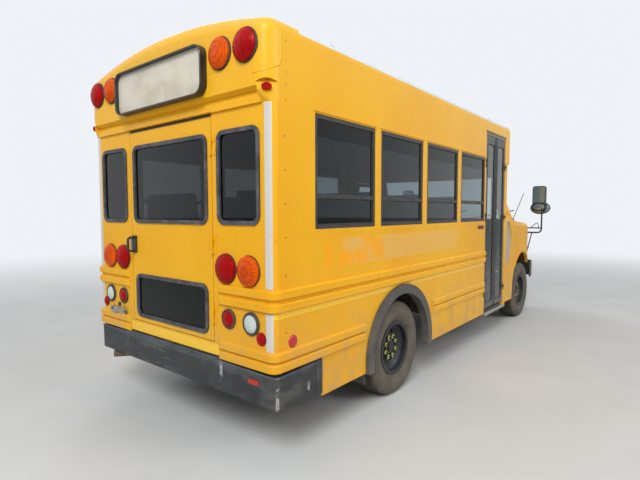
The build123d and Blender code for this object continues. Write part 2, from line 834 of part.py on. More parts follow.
def greenhouse(inset0, inset1):
    """The leaning cab walls between two insets, from the belt to the cab's top."""
    outer = loft([at_height(cab_plan(inset0, True), CAB_BELT_Z), at_height(cab_plan(inset0, False), CANT_Z)],
                 ruled=True)
    inner = loft([at_height(cab_plan(inset1, True), CAB_BELT_Z), at_height(cab_plan(inset1, False), CANT_Z)],
                 ruled=True)
    return outer - inner


def screen_hole():
    return poly(
        (-SCREEN_HALF_BASE, SCREEN_Z0), (SCREEN_HALF_BASE, SCREEN_Z0),
        (SCREEN_HALF_TOP, SCREEN_Z1), (-SCREEN_HALF_TOP, SCREEN_Z1),
    )


def driver_outline(grow=0.0, back_gap=0.0):
    lean_s = DRIVER_S1 - (DRIVER_Z1 - DRIVER_LEAN_Z) / DRIVER_LEAN
    back = DRIVER_S0 - back_gap
    return poly(
        (back, DRIVER_Z0 - grow), (DRIVER_S1 + grow, DRIVER_Z0 - grow),
        (DRIVER_S1 + grow, DRIVER_LEAN_Z + grow), (lean_s + grow, DRIVER_Z1 + grow),
        (back, DRIVER_Z1 + grow),
    )


def driver_pane():
    lean_z = DRIVER_LEAN_Z - 10
    top_z = DRIVER_Z1 - DRIVER_POST
    front = DRIVER_S1 - DRIVER_POST
    back = DRIVER_S0 + DRIVER_POST + 16
    low = CAB_BELT_Z + DRIVER_SILL
    return poly(
        (back, low), (front, low), (front, lean_z), (front - (top_z - lean_z) / DRIVER_LEAN, top_z),
        (back, top_z),
    )


def vision_pane():
    """The low window ahead of the entrance: a straight rear edge and a bowed front edge."""
    top = (VISION_BACK_S, VISION_Z1)
    foot = (VISION_BACK_S, VISION_Z0)
    bow = ThreePointArc(foot, (VISION_FRONT_S, (VISION_Z0 + VISION_Z1) / 2), top)
    return make_face([Line(top, foot), bow])


def quarter_pane():
    """The small three-cornered window between the entrance and the screen pillar."""
    low = VISION_Z1 + 22
    corners = poly((VISION_BACK_S, low), (VISION_BACK_S + 180, low), (VISION_BACK_S, low + 200)).vertices()
    return fillet(corners, 14)


def make_cab_shell():
    shell = greenhouse(0, CAB_SKIN + 5)
    front = SCREEN_BASE_S + 100
    shell -= block(-HALF, 0, LEFT_WALL_END_S - 1, JAMB_S, CAB_BELT_Z - 1, CANT_Z + 1)
    shell -= block(-700, 700, LEFT_WALL_END_S - 1, LEFT_WALL_END_S + 60, CAB_BELT_Z - 1, CANT_Z + 1)
    shell -= lengthwise(screen_hole(), PILLAR_TOP_S - 60, front)
    inside = CAB_HALF - CAB_SKIN
    shell += crosswise(rect(JAMB_S, FENDER_BACK_S + 110, SKIRT_Z, CAB_BELT_Z), -CAB_HALF, -inside)
    shell += block(-HALF, -HALF + WALL, BODY_FRONT_S + 1, JAMB_S, STEP_Z - 20, CANT_Z)
    lean = poly(
        (-HALF, STEP_Z), (-inside, STEP_Z), (-inside, CAB_BELT_Z), (45 - CAB_TOP_HALF, CANT_Z),
        (-HALF, CANT_Z),
    )
    shell += lengthwise(lean, JAMB_S - 24, JAMB_S)
    lean = poly(
        (HALF, SKIRT_Z), (inside, SKIRT_Z), (inside, CAB_BELT_Z), (CAB_TOP_HALF - 45, CANT_Z), (HALF, CANT_Z),
    )
    shell += lengthwise(lean, LEFT_WALL_END_S, LEFT_WALL_END_S + 30)
    shell += crosswise(rect(LEFT_WALL_END_S, FENDER_BACK_S, SKIRT_Z, DRIVER_Z0), inside, CAB_HALF)
    shell += crosswise(rect(DRIVER_S1, FENDER_BACK_S, SKIRT_Z, CAB_BELT_Z), inside, CAB_HALF)
    shell += fairing()
    shell -= crosswise(driver_outline(GAP, DRIVER_BACK_GAP), CAB_TOP_HALF - 100, HALF + 20)
    shell -= crosswise(vision_pane() + quarter_pane(), -HALF - 20, -700)
    for fixed, moving in driver_hinges() + entry_hinges(True):
        shell += fixed
    for arch in both_sides(arch_cut(FRONT_AXLE_S, FRONT_ARCH_A, FRONT_ARCH_B, 600, HALF + 20)):
        shell -= arch
    return shell


def fairing_outline(share, inset):
    """The flare's outline in (x, station): 0 at the cab's own width, 1 at the cap's foot."""
    rise = (FAIRING_Z - CAB_BELT_Z) / (CANT_Z - CAB_BELT_Z)
    side = CAB_BASE_HALF + rise * (CAB_TOP_HALF - CAB_BASE_HALF)
    side += share * (HALF - side) - inset
    nose = SCREEN_HALF_TOP - 60
    nose += share * (CAP_NOSE_HALF - nose) - inset
    brow_s = SCREEN_BASE_S + rise * (SCREEN_TOP_S - SCREEN_BASE_S)
    nose_s = brow_s + share * (CAP_NOSE_S - brow_s) - inset
    shoulder_s = CAP_FRONT_S + (1 - share) * 60
    back = LEFT_WALL_END_S
    return poly(*mirrored([(side, back), (side, shoulder_s), (nose, nose_s)]))


def fairing():
    """The moulded flare from the cab's top out to the front cap, over the left door and the screen."""
    forms = []
    for k in (0, FAIRING_SKIN):
        low = at_height(fairing_outline(0, k), FAIRING_Z)
        high = at_height(fairing_outline(1, k), CANT_Z)
        forms.append(loft([low, high], ruled=True))
    flare = forms[0] - forms[1]
    flare -= block(-HALF, 0, LEFT_WALL_END_S - 1, JAMB_S, FAIRING_Z - 1, CANT_Z + 1)
    open_back = HALF - WALL
    s0 = LEFT_WALL_END_S
    return flare - block(-open_back, open_back, s0 - 1, s0 + 30, FAIRING_Z - 1, CANT_Z + 1)


def make_driver_door():
    inside = CAB_HALF - CAB_SKIN
    skin = greenhouse(0, CAB_SKIN)
    skin += crosswise(rect(LEFT_WALL_END_S, FENDER_BACK_S, SKIRT_Z, CAB_BELT_Z), inside, CAB_HALF)
    door = skin & crosswise(driver_outline(), CAB_TOP_HALF - 100, HALF)
    door -= crosswise(driver_pane(), CAB_TOP_HALF - 100, HALF)
    for fixed, moving in driver_hinges():
        door += moving
    return door


def make_driver_glass():
    return greenhouse(18, 18 + GLASS) & crosswise(driver_pane(), CAB_TOP_HALF - 100, HALF)


def make_vision_glass():
    x = CAB_HALF - 14
    lean = (PILLAR_BASE_HALF - PILLAR_TOP_HALF) / (CANT_Z - CAB_BELT_Z)
    top = CAB_BELT_Z + 340
    shift = lean * (top - CAB_BELT_Z)
    bent = poly(
        (-x, VISION_Z0 - 20), (-x, CAB_BELT_Z), (-x + shift, top), (-x + shift + GLASS, top),
        (-x + GLASS, CAB_BELT_Z), (-x + GLASS, VISION_Z0 - 20),
    )
    sheet = lengthwise(bent, VISION_BACK_S - 40, VISION_FRONT_S + 40)
    quarter = greenhouse(18, 18 + GLASS) & crosswise(quarter_pane(), -HALF, -700)
    return [sheet & crosswise(vision_pane(), -HALF, -700), quarter]


def make_windshield():
    pane = lengthwise(screen_hole(), PILLAR_TOP_S - 60, SCREEN_BASE_S + 100)
    return greenhouse(10, 10 + GLASS) & pane


# Nose


def nose_x(s, inset=0.0):
    """Half width of the nose where its side curves in, at station s."""
    turn_r = nose_turn_r()
    return CAB_HALF - turn_r + sqrt((turn_r - inset) ** 2 - (s - NOSE_BEND_S) ** 2)


def nose_turn_r():
    """Radius in plan of the nose's sides."""
    depth = CAB_HALF - NOSE_HALF
    length = NOSE_S - NOSE_BEND_S
    return (depth ** 2 + length ** 2) / (2 * depth)


def nose_plan(inset):
    half = CAB_HALF - inset
    front = NOSE_S - inset
    tip = nose_x(front, inset)
    middle_s = NOSE_BEND_S + 0.55 * (front - NOSE_BEND_S)
    middle = (nose_x(middle_s, inset), middle_s)
    right = ThreePointArc((half, NOSE_BEND_S), middle, (tip, front))
    left = ThreePointArc((-tip, front), (-middle[0], middle[1]), (-half, NOSE_BEND_S))
    back = FENDER_BACK_S - (0 if inset == 0 else 10)
    rest = Polyline((-half, NOSE_BEND_S), (-half, back), (half, back), (half, NOSE_BEND_S))
    return make_face([right, Line((tip, front), (-tip, front)), left, rest])


def nose_profile(drop, front):
    """The nose seen from the side: cowl, sloping hood and upright face."""
    back = FENDER_BACK_S - 20
    return poly(
        (back, 0), (back, CAB_BELT_Z - drop), (COWL_S, CAB_BELT_Z - drop),
        (5300, 1318 - drop), (5620, 1235 - drop), (front, NOSE_FACE_Z - drop), (front, 0),
    )


def nose_body(inset, drop):
    """The nose as one closed form, with its shoulders rounded where the top meets the sides."""
    body = upright(nose_plan(inset), SKIRT_Z - drop, CAB_BELT_Z)
    body &= crosswise(nose_profile(drop, NOSE_S), -HALF, HALF)
    sides = body.edges().filter_by(lambda e: e.center().Z > NOSE_FACE_Z and abs(e.center().X) > NOSE_HALF)
    along = sides.filter_by(lambda e: abs(e.position_at(0).Y - e.position_at(1).Y) > 20)
    return fillet(along, SHOULDER_R - drop)


def nose_shell():
    shell = nose_body(0, 0) - nose_body(NOSE_SKIN, NOSE_SKIN)
    shell -= block(-HALF, HALF, FRONT_AXLE_S, NOSE_S + 10, 0, NOSE_BOTTOM_Z)
    for arch in both_sides(arch_cut(FRONT_AXLE_S, FRONT_ARCH_A, FRONT_ARCH_B, 600, HALF + 20)):
        shell -= arch
    return shell


def hood_plan(gap, back_gap):
    back = HOOD_BACK_S - back_gap
    return block(
        -HOOD_HALF - gap, HOOD_HALF + gap, back, HOOD_FRONT_S + gap, NOSE_FACE_Z - NOSE_SKIN, CAB_BELT_Z + 20,
    )


def hood_pin(x0, x1, r):
    plane = Plane(origin=(x0, station(HOOD_AXIS_S), HOOD_AXIS_Z), z_dir=(1, 0, 0))
    return extrude(plane * Circle(r), amount=x1 - x0)


def hood_hinges():
    """Two hinges across the hood's rear edge, each as the cowl's ears with a pin and the hood's barrel."""
    pairs = []
    for x in (HOOD_HINGE_X, -HOOD_HINGE_X):
        x0 = x - HOOD_HINGE / 2
        x1 = x + HOOD_HINGE / 2
        z0 = HOOD_AXIS_Z - 5
        z1 = HOOD_AXIS_Z + 5
        cowl = hood_pin(x0, x1, PIN_R)
        for low in (x0, x1 - 12):
            cowl += hood_pin(low, low + 12, PIN_R + 3)
            cowl += block(low, low + 12, HOOD_BACK_S - HOOD_BACK_GAP - 4, HOOD_AXIS_S, z0, z1)
        a = x0 + 12 + PIN_SLACK
        b = x1 - 12 - PIN_SLACK
        lid = hood_pin(a, b, PIN_R + 3) + block(a, b, HOOD_AXIS_S, HOOD_BACK_S + 4, z0, z1)
        pairs.append((cowl, lid - hood_pin(a - 1, b + 1, PIN_R + PIN_SLACK)))
    return pairs


def make_hood():
    hood = nose_shell() & hood_plan(0, 0)
    reach = HOOD_HINGE / 2 + 1
    for x in (HOOD_HINGE_X, -HOOD_HINGE_X):
        hood -= hood_pin(x - reach, x + reach, PIN_R + 3 + PIN_SLACK)
    for cowl, lid in hood_hinges():
        hood += lid
    return hood


def make_fenders():
    shell = nose_shell() - hood_plan(GAP, HOOD_BACK_GAP)
    right_back = FENDER_BACK_S + 110
    shell -= block(-HALF, -CAB_HALF + CAB_SKIN + 2, 0, right_back, 0, CAB_BELT_Z)
    shell -= lengthwise(rect(-GRILLE_HALF, GRILLE_HALF, GRILLE_Z0, GRILLE_Z1, 20), NOSE_S - 60, NOSE_S + 10)
    for ledge in both_sides(hood_ledge()):
        shell += ledge
    for z0, z1 in ((HEADLAMP_Z0, HEADLAMP_Z1), (TURN_Z0, TURN_Z1)):
        for lamp in both_sides(headlamp_box(z0, z1, 60)):
            shell -= lamp
    for lip in both_sides(front_arch_lip()):
        shell += lip
    for cowl, lid in hood_hinges():
        shell += cowl
    return shell


def front_arch_lip():
    """A rolled lip round the front wheel's opening, ahead of the cab."""
    grow = 26
    ring = ellipse(FRONT_AXLE_S, ARCH_Z, FRONT_ARCH_A + grow, FRONT_ARCH_B + grow)
    ring -= ellipse(FRONT_AXLE_S, ARCH_Z, FRONT_ARCH_A, FRONT_ARCH_B)
    top = ARCH_Z + 2 * FRONT_ARCH_B
    ring &= rect(FENDER_BACK_S + 115, FRONT_AXLE_S + FRONT_ARCH_A + grow, NOSE_BOTTOM_Z, top)
    band = upright(nose_plan(-8), 0, CAB_BELT_Z) - upright(nose_plan(NOSE_SKIN - 4), 0, CAB_BELT_Z)
    return crosswise(ring, CAB_HALF - 200, HALF) & band


def nose_layer(drop0, drop1, x0, x1):
    layer = crosswise(nose_profile(drop0, NOSE_S), x0, x1) - crosswise(nose_profile(drop1, NOSE_S), x0, x1)
    return layer & block(x0, x1, HOOD_BACK_S + 30, HOOD_FRONT_S - 60, 900, CAB_BELT_Z)


def hood_ledge():
    """The fender's inner flange, which the closed hood rests over."""
    inner = HOOD_HALF - 30
    ledge = nose_layer(NOSE_SKIN, NOSE_SKIN + 10, inner, HOOD_HALF + 50)
    return ledge - nose_layer(NOSE_SKIN - 1, NOSE_SKIN + PIN_SLACK, inner - 1, HOOD_HALF + GAP)


def headlamp_box(z0, z1, depth):
    return lengthwise(rect(HEADLAMP_X0, HEADLAMP_X1, z0, z1, 18), NOSE_S - depth, NOSE_S + 10)


def make_grille():
    """A frame across the nose's opening with level bars and thin posts behind them."""
    frame = rect(-GRILLE_HALF, GRILLE_HALF, GRILLE_Z0, GRILLE_Z1, 20)
    frame -= rect(
        GRILLE_RIM - GRILLE_HALF, GRILLE_HALF - GRILLE_RIM, GRILLE_Z0 + GRILLE_RIM, GRILLE_Z1 - GRILLE_RIM, 8,
    )
    grille = lengthwise(frame, NOSE_S - 30, NOSE_S + 8)
    inside = GRILLE_HALF - GRILLE_RIM + 6
    pitch = (GRILLE_Z1 - GRILLE_Z0 - 2 * GRILLE_RIM) / (GRILLE_BARS + 1)
    for i in range(GRILLE_BARS):
        z = GRILLE_Z0 + GRILLE_RIM + (i + 1) * pitch
        bar = poly(
            (NOSE_S - 28, z - 4), (NOSE_S - 2, z - GRILLE_BAR / 2),
            (NOSE_S + 4, z), (NOSE_S - 2, z + GRILLE_BAR / 2), (NOSE_S - 28, z + 4),
        )
        grille += crosswise(bar, -inside, inside)
    for i in range(GRILLE_POSTS):
        x = -GRILLE_HALF + (i + 1) * 2 * GRILLE_HALF / (GRILLE_POSTS + 1)
        grille += block(x - 5, x + 5, NOSE_S - 30, NOSE_S - 20, GRILLE_Z0 + 10, GRILLE_Z1 - 10)
    return grille


# Bumpers


def bumper_line(k):
    """The bumper's plan line, moved k inwards."""
    outside = HALF + BUMPER_STAND - k
    return [(BUMPER_BEND_X, k - BUMPER_FACE), (outside, BUMPER_CORNER_S + k), (outside, BUMPER_END_S)]


def bumper_body(near, far, drop, under):
    """The bumper between two plan lines, its top lowered by drop and its foot by under."""
    plan = poly(*mirrored(bumper_line(near) + bumper_line(far)[::-1]))
    band = upright(plan, BUMPER_END_LOW_Z - 60, BUMPER_TOP_Z + 10)
    outside = HALF + BUMPER_STAND + 1
    bend = BUMPER_BEND_X
    corner_low = BUMPER_CORNER_LOW_Z - under
    corner_top = BUMPER_CORNER_TOP_Z - drop
    rear = poly(*mirrored([
        (bend, BUMPER_LOW_Z - under), (outside, corner_low), (outside, corner_top),
        (bend, BUMPER_RAIL_Z - drop), (BUMPER_STEP_X, BUMPER_RAIL_Z - drop),
        (BUMPER_STEP_X - 6, BUMPER_TOP_Z - drop),
    ]))
    side = poly(
        (BUMPER_CORNER_S, corner_low), (BUMPER_END_S, BUMPER_END_LOW_Z - under),
        (BUMPER_END_S, BUMPER_END_TOP_Z - drop), (BUMPER_CORNER_S, corner_top),
    )
    behind = band & lengthwise(rear, -BUMPER_FACE - 1, BUMPER_CORNER_S)
    return behind + (band & crosswise(side, -outside, outside))


def make_rear_bumper():
    flange = BUMPER_FACE + BUMPER_CORNER_S
    k = BUMPER_SKIN
    bumper = bumper_body(0, flange, 0, 0) - bumper_body(k, flange + 1, k, 20)
    arm = block(CHASSIS_HALF - 10, CHASSIS_HALF, k - BUMPER_FACE, WALL, 470, 560)
    for bracket in both_sides(arm):
        bumper += bracket
    return bumper


def make_front_bumper():
    z0 = FRONT_BUMPER_Z0
    z1 = FRONT_BUMPER_Z1
    k = FRONT_BUMPER_SKIN
    half = NOSE_HALF - 30
    corner = (CAB_HALF - 60, NOSE_S - 30)
    tail = (CAB_HALF - 22, FRONT_AXLE_S + FRONT_ARCH_A + 60)
    outer = [(half, FRONT_END_S), corner, tail]
    inner = [(tail[0] - k, tail[1]), (corner[0] - k, corner[1] - k), (half - 4, FRONT_END_S - k)]
    plan = poly(*mirrored(outer + inner))
    bumper = upright(plan, z0, z1)
    lip = [(half, FRONT_END_S), (half, FRONT_END_S - 70)]
    bumper += upright(poly(*mirrored(lip)), z1 - k, z1)
    for x in (CHASSIS_HALF - 60, 50 - CHASSIS_HALF):
        bumper += block(x, x + k, FRAME_END_S, FRONT_END_S - k, z0 + 20, z0 + 100)
    z = (z0 + z1) / 2
    for x in (-PLATE_HOLES / 2, PLATE_HOLES / 2):
        bumper -= lengthwise(Pos(x, z) * Circle(PLATE_HOLE_R), FRONT_END_S - 2 * k, FRONT_END_S + 1)
    return bumper


# Chassis


def channel(x, s0, s1):
    """A channel rail with its open side towards the middle."""
    section = rect(x - CHASSIS_FLANGE, x, CHASSIS_Z0, CHASSIS_Z1)
    web = CHASSIS_WEB
    section -= rect(x - CHASSIS_FLANGE - 1, x - web, CHASSIS_Z0 + web, CHASSIS_Z1 - web)
    return lengthwise(section, s0, s1)


def make_chassis():
    rail = channel(CHASSIS_HALF, WALL, FRAME_END_S)
    frame = rail + mirror_x(rail)
    web = CHASSIS_HALF - CHASSIS_WEB
    for s in (120, 900, 2000, 2900, 3700, 4300, 5500):
        frame += block(-web, web, s, s + 60, CHASSIS_Z0 + CHASSIS_WEB, CHASSIS_Z1 - CHASSIS_WEB)
    for s in (300, 1050, 1900, 2600, 3250):
        arm = block(CHASSIS_HALF, HALF - WALL, s, s + 50, CHASSIS_Z1 - 40, FLOOR_Z - FLOOR_THICK)
        for side in both_sides(arm):
            frame += side
        frame += block(-CHASSIS_HALF, CHASSIS_HALF, s, s + 50, CHASSIS_Z1, FLOOR_Z - FLOOR_THICK)
    outside = SPRING_X + SPRING_WIDTH / 2
    for s in (REAR_AXLE_S - SPRING_HALF, REAR_AXLE_S + SPRING_HALF - 50):
        for hanger in both_sides(block(CHASSIS_HALF - 2, outside, s, s + 50, SPRING_END_Z, CHASSIS_Z1 - 40)):
            frame += hanger
    return frame


def make_rear_axle():
    """Axle tube with its final drive, leaf springs and drive shaft."""
    z = TYRE_R
    half = TRACK_REAR / 2 - 60
    plane = Plane(origin=(-half, station(REAR_AXLE_S), z), z_dir=(1, 0, 0))
    axle = extrude(plane * Circle(AXLE_R), amount=2 * half)
    axle += Pos(0, station(REAR_AXLE_S), z) * Sphere(120)
    for sign in (-1, 1):
        face = Plane(origin=(sign * half, station(REAR_AXLE_S), z), z_dir=(sign, 0, 0))
        axle += extrude(face * Circle(70), amount=16)
        axle += extrude(face * Circle(SPINDLE_R), amount=60 + HUB_DEPTH - PIN_SLACK)
        axle += Pos(sign * SPRING_X, 0, 0) * leaf_spring()
    start_s = REAR_AXLE_S + 110
    shaft = Plane(origin=(0, station(start_s), z), z_dir=(0, -1, 0.012))
    axle += extrude(shaft * Circle(38), amount=GEARBOX_S - start_s - 1)
    return axle


def leaf_spring():
    a = REAR_AXLE_S
    end = SPRING_HALF
    top = SPRING_END_Z
    outline = poly(
        (a - end, top - 14), (a - end + 60, top - 14), (a, TYRE_R + 23), (a + end - 60, top - 14),
        (a + end, top - 14),
        (a + end, top), (a + end - 60, top), (a, TYRE_R + 56), (a - end + 60, top), (a - end, top),
    )
    return crosswise(outline, -SPRING_WIDTH / 2, SPRING_WIDTH / 2)


def make_front_suspension():
    """Cross beam from the frame out to the kingpin eyes."""
    z0 = TYRE_R - BEAM_DROP
    z1 = TYRE_R + BEAM_RISE
    beam = block(-KINGPIN_X, KINGPIN_X, FRONT_AXLE_S - 30, FRONT_AXLE_S + 30, z0, z1)
    for seat in both_sides(block(300, 380, FRONT_AXLE_S - 40, FRONT_AXLE_S + 40, z1, CHASSIS_Z0)):
        beam += seat
    eyes = both_sides(barrel(KINGPIN_X, FRONT_AXLE_S, z0, z1, EYE_R))
    bores = both_sides(barrel(KINGPIN_X, FRONT_AXLE_S, z0 - 1, z1 + 1, KINGPIN_R + PIN_SLACK))
    a = FRONT_AXLE_S
    outside = both_sides(block(KINGPIN_X, KINGPIN_X + 60, a - 60, a + 60, z0 - 1, z1 + 1))
    for eye, bore, cut in zip(eyes, bores, outside):
        beam = beam - cut + eye - bore
    return beam


def make_knuckle(sign):
    """A yoke round the beam's eye that carries the kingpin and the wheel's spindle."""
    z0 = TYRE_R - BEAM_DROP - GAP
    z1 = TYRE_R + BEAM_RISE + GAP
    outside = KINGPIN_X + EYE_R + 8
    face = outside + YOKE_PLATE
    yoke = block(outside, face, FRONT_AXLE_S - 34, FRONT_AXLE_S + 34, z0 - YOKE_PLATE, z1 + YOKE_PLATE)
    for low in (z0 - YOKE_PLATE, z1):
        yoke += block(KINGPIN_X, face, FRONT_AXLE_S - 34, FRONT_AXLE_S + 34, low, low + YOKE_PLATE)
        yoke += barrel(KINGPIN_X, FRONT_AXLE_S, low, low + YOKE_PLATE, 34)
    yoke += barrel(KINGPIN_X, FRONT_AXLE_S, z0, z1, KINGPIN_R)
    plane = Plane(origin=(face, station(FRONT_AXLE_S), TYRE_R), z_dir=(1, 0, 0))
    yoke += extrude(plane * Circle(SPINDLE_R), amount=TRACK_FRONT / 2 - face + HUB_DEPTH - PIN_SLACK)
    return yoke if sign > 0 else mirror_x(yoke)


def make_engine():
    """Engine and gearbox as one plain block on its frame mounts."""
    engine = block(-300, 300, 4660, 5400, CHASSIS_Z1 + 20, 1150)
    engine += block(-110, 110, GEARBOX_S, 4660, 390, CHASSIS_Z1 + 10)
    engine += block(-300, 300, 4660, 4700, 560, CHASSIS_Z1 + 20)
    return engine + block(-CHASSIS_HALF, CHASSIS_HALF, 4950, 5030, CHASSIS_Z1, CHASSIS_Z1 + 40)


def make_fuel_tank():
    tank = block(TANK_X0, TANK_X1, TANK_S0, TANK_S1, TANK_Z0, TANK_Z1)
    tank = fillet(tank.edges().filter_by(Axis.Y), 36)
    middle = (TANK_S0 + TANK_S1) / 2
    return tank + block(CHASSIS_HALF, TANK_X0 + 10, middle - 40, middle + 40, TANK_Z1 - 70, TANK_Z1 - 40)


def make_exhaust():
    """Pipe and muffler along the right rail, over the axle and out under the bumper's left end."""
    z = PIPE_Z
    x = PIPE_X
    over = AXLE_R + TYRE_R + PIPE_R + 2 * GAP
    route = [
        (x, GEARBOX_S - 20, z), (x, REAR_AXLE_S + 420, z), (x, REAR_AXLE_S + 150, over),
        (x, REAR_AXLE_S - 150, over),
        (x, REAR_AXLE_S - 430, z), (x, 470, z), (TAIL_X - 190, 240, TAIL_Z), (TAIL_X, 20, TAIL_Z),
    ]
    pipe = tube(route, PIPE_R, 80)
    muffler = Plane(origin=(x, station(MUFFLER_S + MUFFLER), z), x_dir=(1, 0, 0), z_dir=(0, 1, 0))
    pipe += extrude(muffler * Ellipse(110, 70), amount=MUFFLER)
    hanger = MUFFLER_S + MUFFLER - 85
    return pipe + block(x - 12, x + 12, hanger, hanger + 30, z + 60, CHASSIS_Z0 + CHASSIS_WEB)


# Wheels


def wheel_plane(x, s, sign):
    """A plane at a wheel's centre whose normal points out of the bus."""
    return Plane(origin=(x * sign, station(s), TYRE_R), x_dir=(0, 1, 0), z_dir=(sign, 0, 0))


def tyre_section():
    """Bead, bulging sidewall, round shoulder and flat tread in (radius, offset)."""
    w = TYRE_WIDTH / 2
    bead = RIM_WIDTH / 2
    low = (RIM_R + 2 * BEAD, bead + 8)
    shoulder = (TYRE_R - 24, w - 14)
    tread = (TYRE_R, w - 54)
    widest = ((RIM_R + TYRE_R) / 2, w)
    edges = [Line((RIM_R, -bead), (RIM_R, bead)), Line((TYRE_R, tread[1]), (TYRE_R, -tread[1]))]
    for k in (1, -1):
        edges.append(Line((RIM_R, k * bead), (low[0], k * low[1])))
        side = (widest[0], k * w)
        edges.append(TangentArc(side, (low[0], k * low[1]), tangent=(-1, 0)))
        edges.append(TangentArc(side, (shoulder[0], k * shoulder[1]), tangent=(1, 0)))
        edges.append(TangentArc((TYRE_R, k * tread[1]), (shoulder[0], k * shoulder[1]), tangent=(0, k)))
    return make_face(edges)


def make_tyre(x, s, sign):
    ring = revolve(Plane.XZ * tyre_section(), axis=Axis.Z)
    return wheel_plane(x, s, sign).location * ring


def rim_section():
    """Half section of the rim's barrel, its flanges and the dished disc in (radius, offset)."""
    bead = RIM_WIDTH / 2
    lip = RIM_R + 14
    inside = RIM_R - 14
    return poly(
        (12, 40), (95, 40), (110, 26), (150, 26), (172, 44), (inside, 58), (inside, bead + 8),
        (lip, bead + 12), (lip, bead + 8), (RIM_R, bead), (RIM_R, -bead), (lip, -bead - 8),
        (lip, -bead - 12), (inside, -bead - 8),
        (inside, 42), (172, 32), (150, 14), (110, 14), (95, 28), (12, 28),
    )


def make_rim(x, s, sign):
    """A pressed steel wheel with hand holes, a stepped hub cap and lug nuts."""
    rim = revolve(Plane.XZ * rim_section(), axis=Axis.Z)
    hand_hole = Pos(HAND_HOLE_R, 0, 20) * extrude(Ellipse(15, 24), amount=60, both=True)
    for i in range(HAND_HOLES):
        rim -= Rot(0, 0, i * 360 / HAND_HOLES) * hand_hole
    nut = Pos(LUG_CIRCLE_R, 0, 40) * extrude(RegularPolygon(11, 6), amount=20)
    for i in range(LUGS):
        rim += Rot(0, 0, (i + 0.5) * 360 / LUGS) * nut
    hub = Pos(0, 0, (HUB_BACK + HUB_FRONT) / 2) * Cylinder(HUB_R, HUB_FRONT - HUB_BACK)
    hub += Pos(0, 0, HUB_FRONT) * extrude(Circle(HUB_CAP_R), amount=HUB_CAP, taper=8)
    depth = HUB_DEPTH - HUB_BACK + 1
    bore = Pos(0, 0, HUB_DEPTH - depth / 2) * Cylinder(SPINDLE_R + PIN_SLACK, depth)
    rim = rim + hub - bore
    return wheel_plane(x, s, sign).location * rim


# Doors


def entry_leaf(s0, s1):
    outline = rect(s0, s1, ENTRY_Z0 + GAP, ENTRY_Z1 - GAP)
    outline -= entry_pane(s0, s1)
    leaf = crosswise(outline, -HALF + LEAF_RECESS, -HALF + LEAF_RECESS + LEAF_THICK)
    for fixed, moving in entry_hinges(s0 > ENTRY_MID):
        leaf += moving
    return leaf


def entry_pane(s0, s1):
    return rect(s0 + ENTRY_STILE, s1 - ENTRY_STILE, ENTRY_Z0 + 70, ENTRY_Z1 - 100, 20)


def entry_glass(s0, s1):
    x = -HALF + LEAF_RECESS + ENTRY_GLASS_INSET
    return crosswise(entry_pane(s0, s1), x, x + GLASS)


ENTRY_MID = (ENTRY_S0 + ENTRY_S1) / 2
REAR_LEAF = (ENTRY_S0 + 5, ENTRY_MID - 3)
FRONT_LEAF = (ENTRY_MID + 3, ENTRY_S1 - 5)

# Round lamps as x, z, radius, station of the face that carries them
DOOR_SIDE_X = REAR_DOOR_HALF + 131
OUTER_X = HALF - 200
RED_LAMPS = (
    (DOOR_SIDE_X, 1146, 89, 0), (DOOR_SIDE_X + 18, 840, 50, 0), (HALF - 103, 763, 37, 0),
    (HALF - 159, 2403, 89, -CAP_PROUD),
)
AMBER_LAMPS = ((OUTER_X, 1146, 89, 0), (HALF - 375, 2403, 89, -CAP_PROUD))
CLEAR_LAMPS = ((OUTER_X + 14, 839, 53, 0),)


def dome(x, z, r, s):
    """A round lens with a domed face towards the rear."""
    rise = r * 0.32
    base = r * 0.22
    ball = (r * r + rise * rise) / (2 * rise)
    half_turn = asin(r / ball) / 2
    middle = (ball * sin(half_turn), base + rise - ball * (1 - cos(half_turn)))
    section = make_face([
        Line((0, 0), (r, 0)), Line((r, 0), (r, base)),
        ThreePointArc((r, base), middle, (0, base + rise)),
        Line((0, base + rise), (0, 0)),
    ])
    lens = revolve(Plane.XZ * section, axis=Axis.Z)
    return Plane(origin=(x, station(s), z), x_dir=(1, 0, 0), z_dir=(0, 1, 0)).location * lens


def lamps(table):
    lenses = []
    for x, z, r, s in table:
        lenses += both_sides(dome(x, z, r, s))
    return lenses


def corner_markers():
    """Oval marker lamps on the sloping floors of the rear cap's corner pockets."""
    plane = corner_plane()
    rise = MARKER_Z - BROW_Z
    oval = plane * (Pos(0, rise) * Ellipse(MARKER_A, MARKER_B))
    return both_sides(extrude(oval, amount=12) + extrude(oval, amount=-BROW_DEPTH) - brow_floor())


def make_clear_lamps():
    return lamps(CLEAR_LAMPS) + both_sides(headlamp_box(HEADLAMP_Z0, HEADLAMP_Z1, 30) & front_slab())


def make_amber_lamps():
    return lamps(AMBER_LAMPS) + both_sides(headlamp_box(TURN_Z0, TURN_Z1, 30) & front_slab())


def front_slab():
    return block(-HALF, HALF, NOSE_S - 100, NOSE_S + 4, SKIRT_Z, CAB_BELT_Z)


def make_signs():
    """Blank boards over the rear door and on the front cap."""
    board = rect(-SIGN_HALF, SIGN_HALF, SIGN_Z0, SIGN_Z1, 60)
    rear = lengthwise(board, -CAP_PROUD - SIGN_THICK, -CAP_PROUD)
    front = lengthwise(board, CAP_NOSE_S, CAP_NOSE_S + SIGN_THICK)
    return [rear, front]


def on_fender(s, z, out):
    """The point (x, station, z) that stands off the left fender's curved side by out."""
    lean = asin((s - NOSE_BEND_S) / nose_turn_r())
    return (nose_x(s) + out * cos(lean), s + out * sin(lean), z)


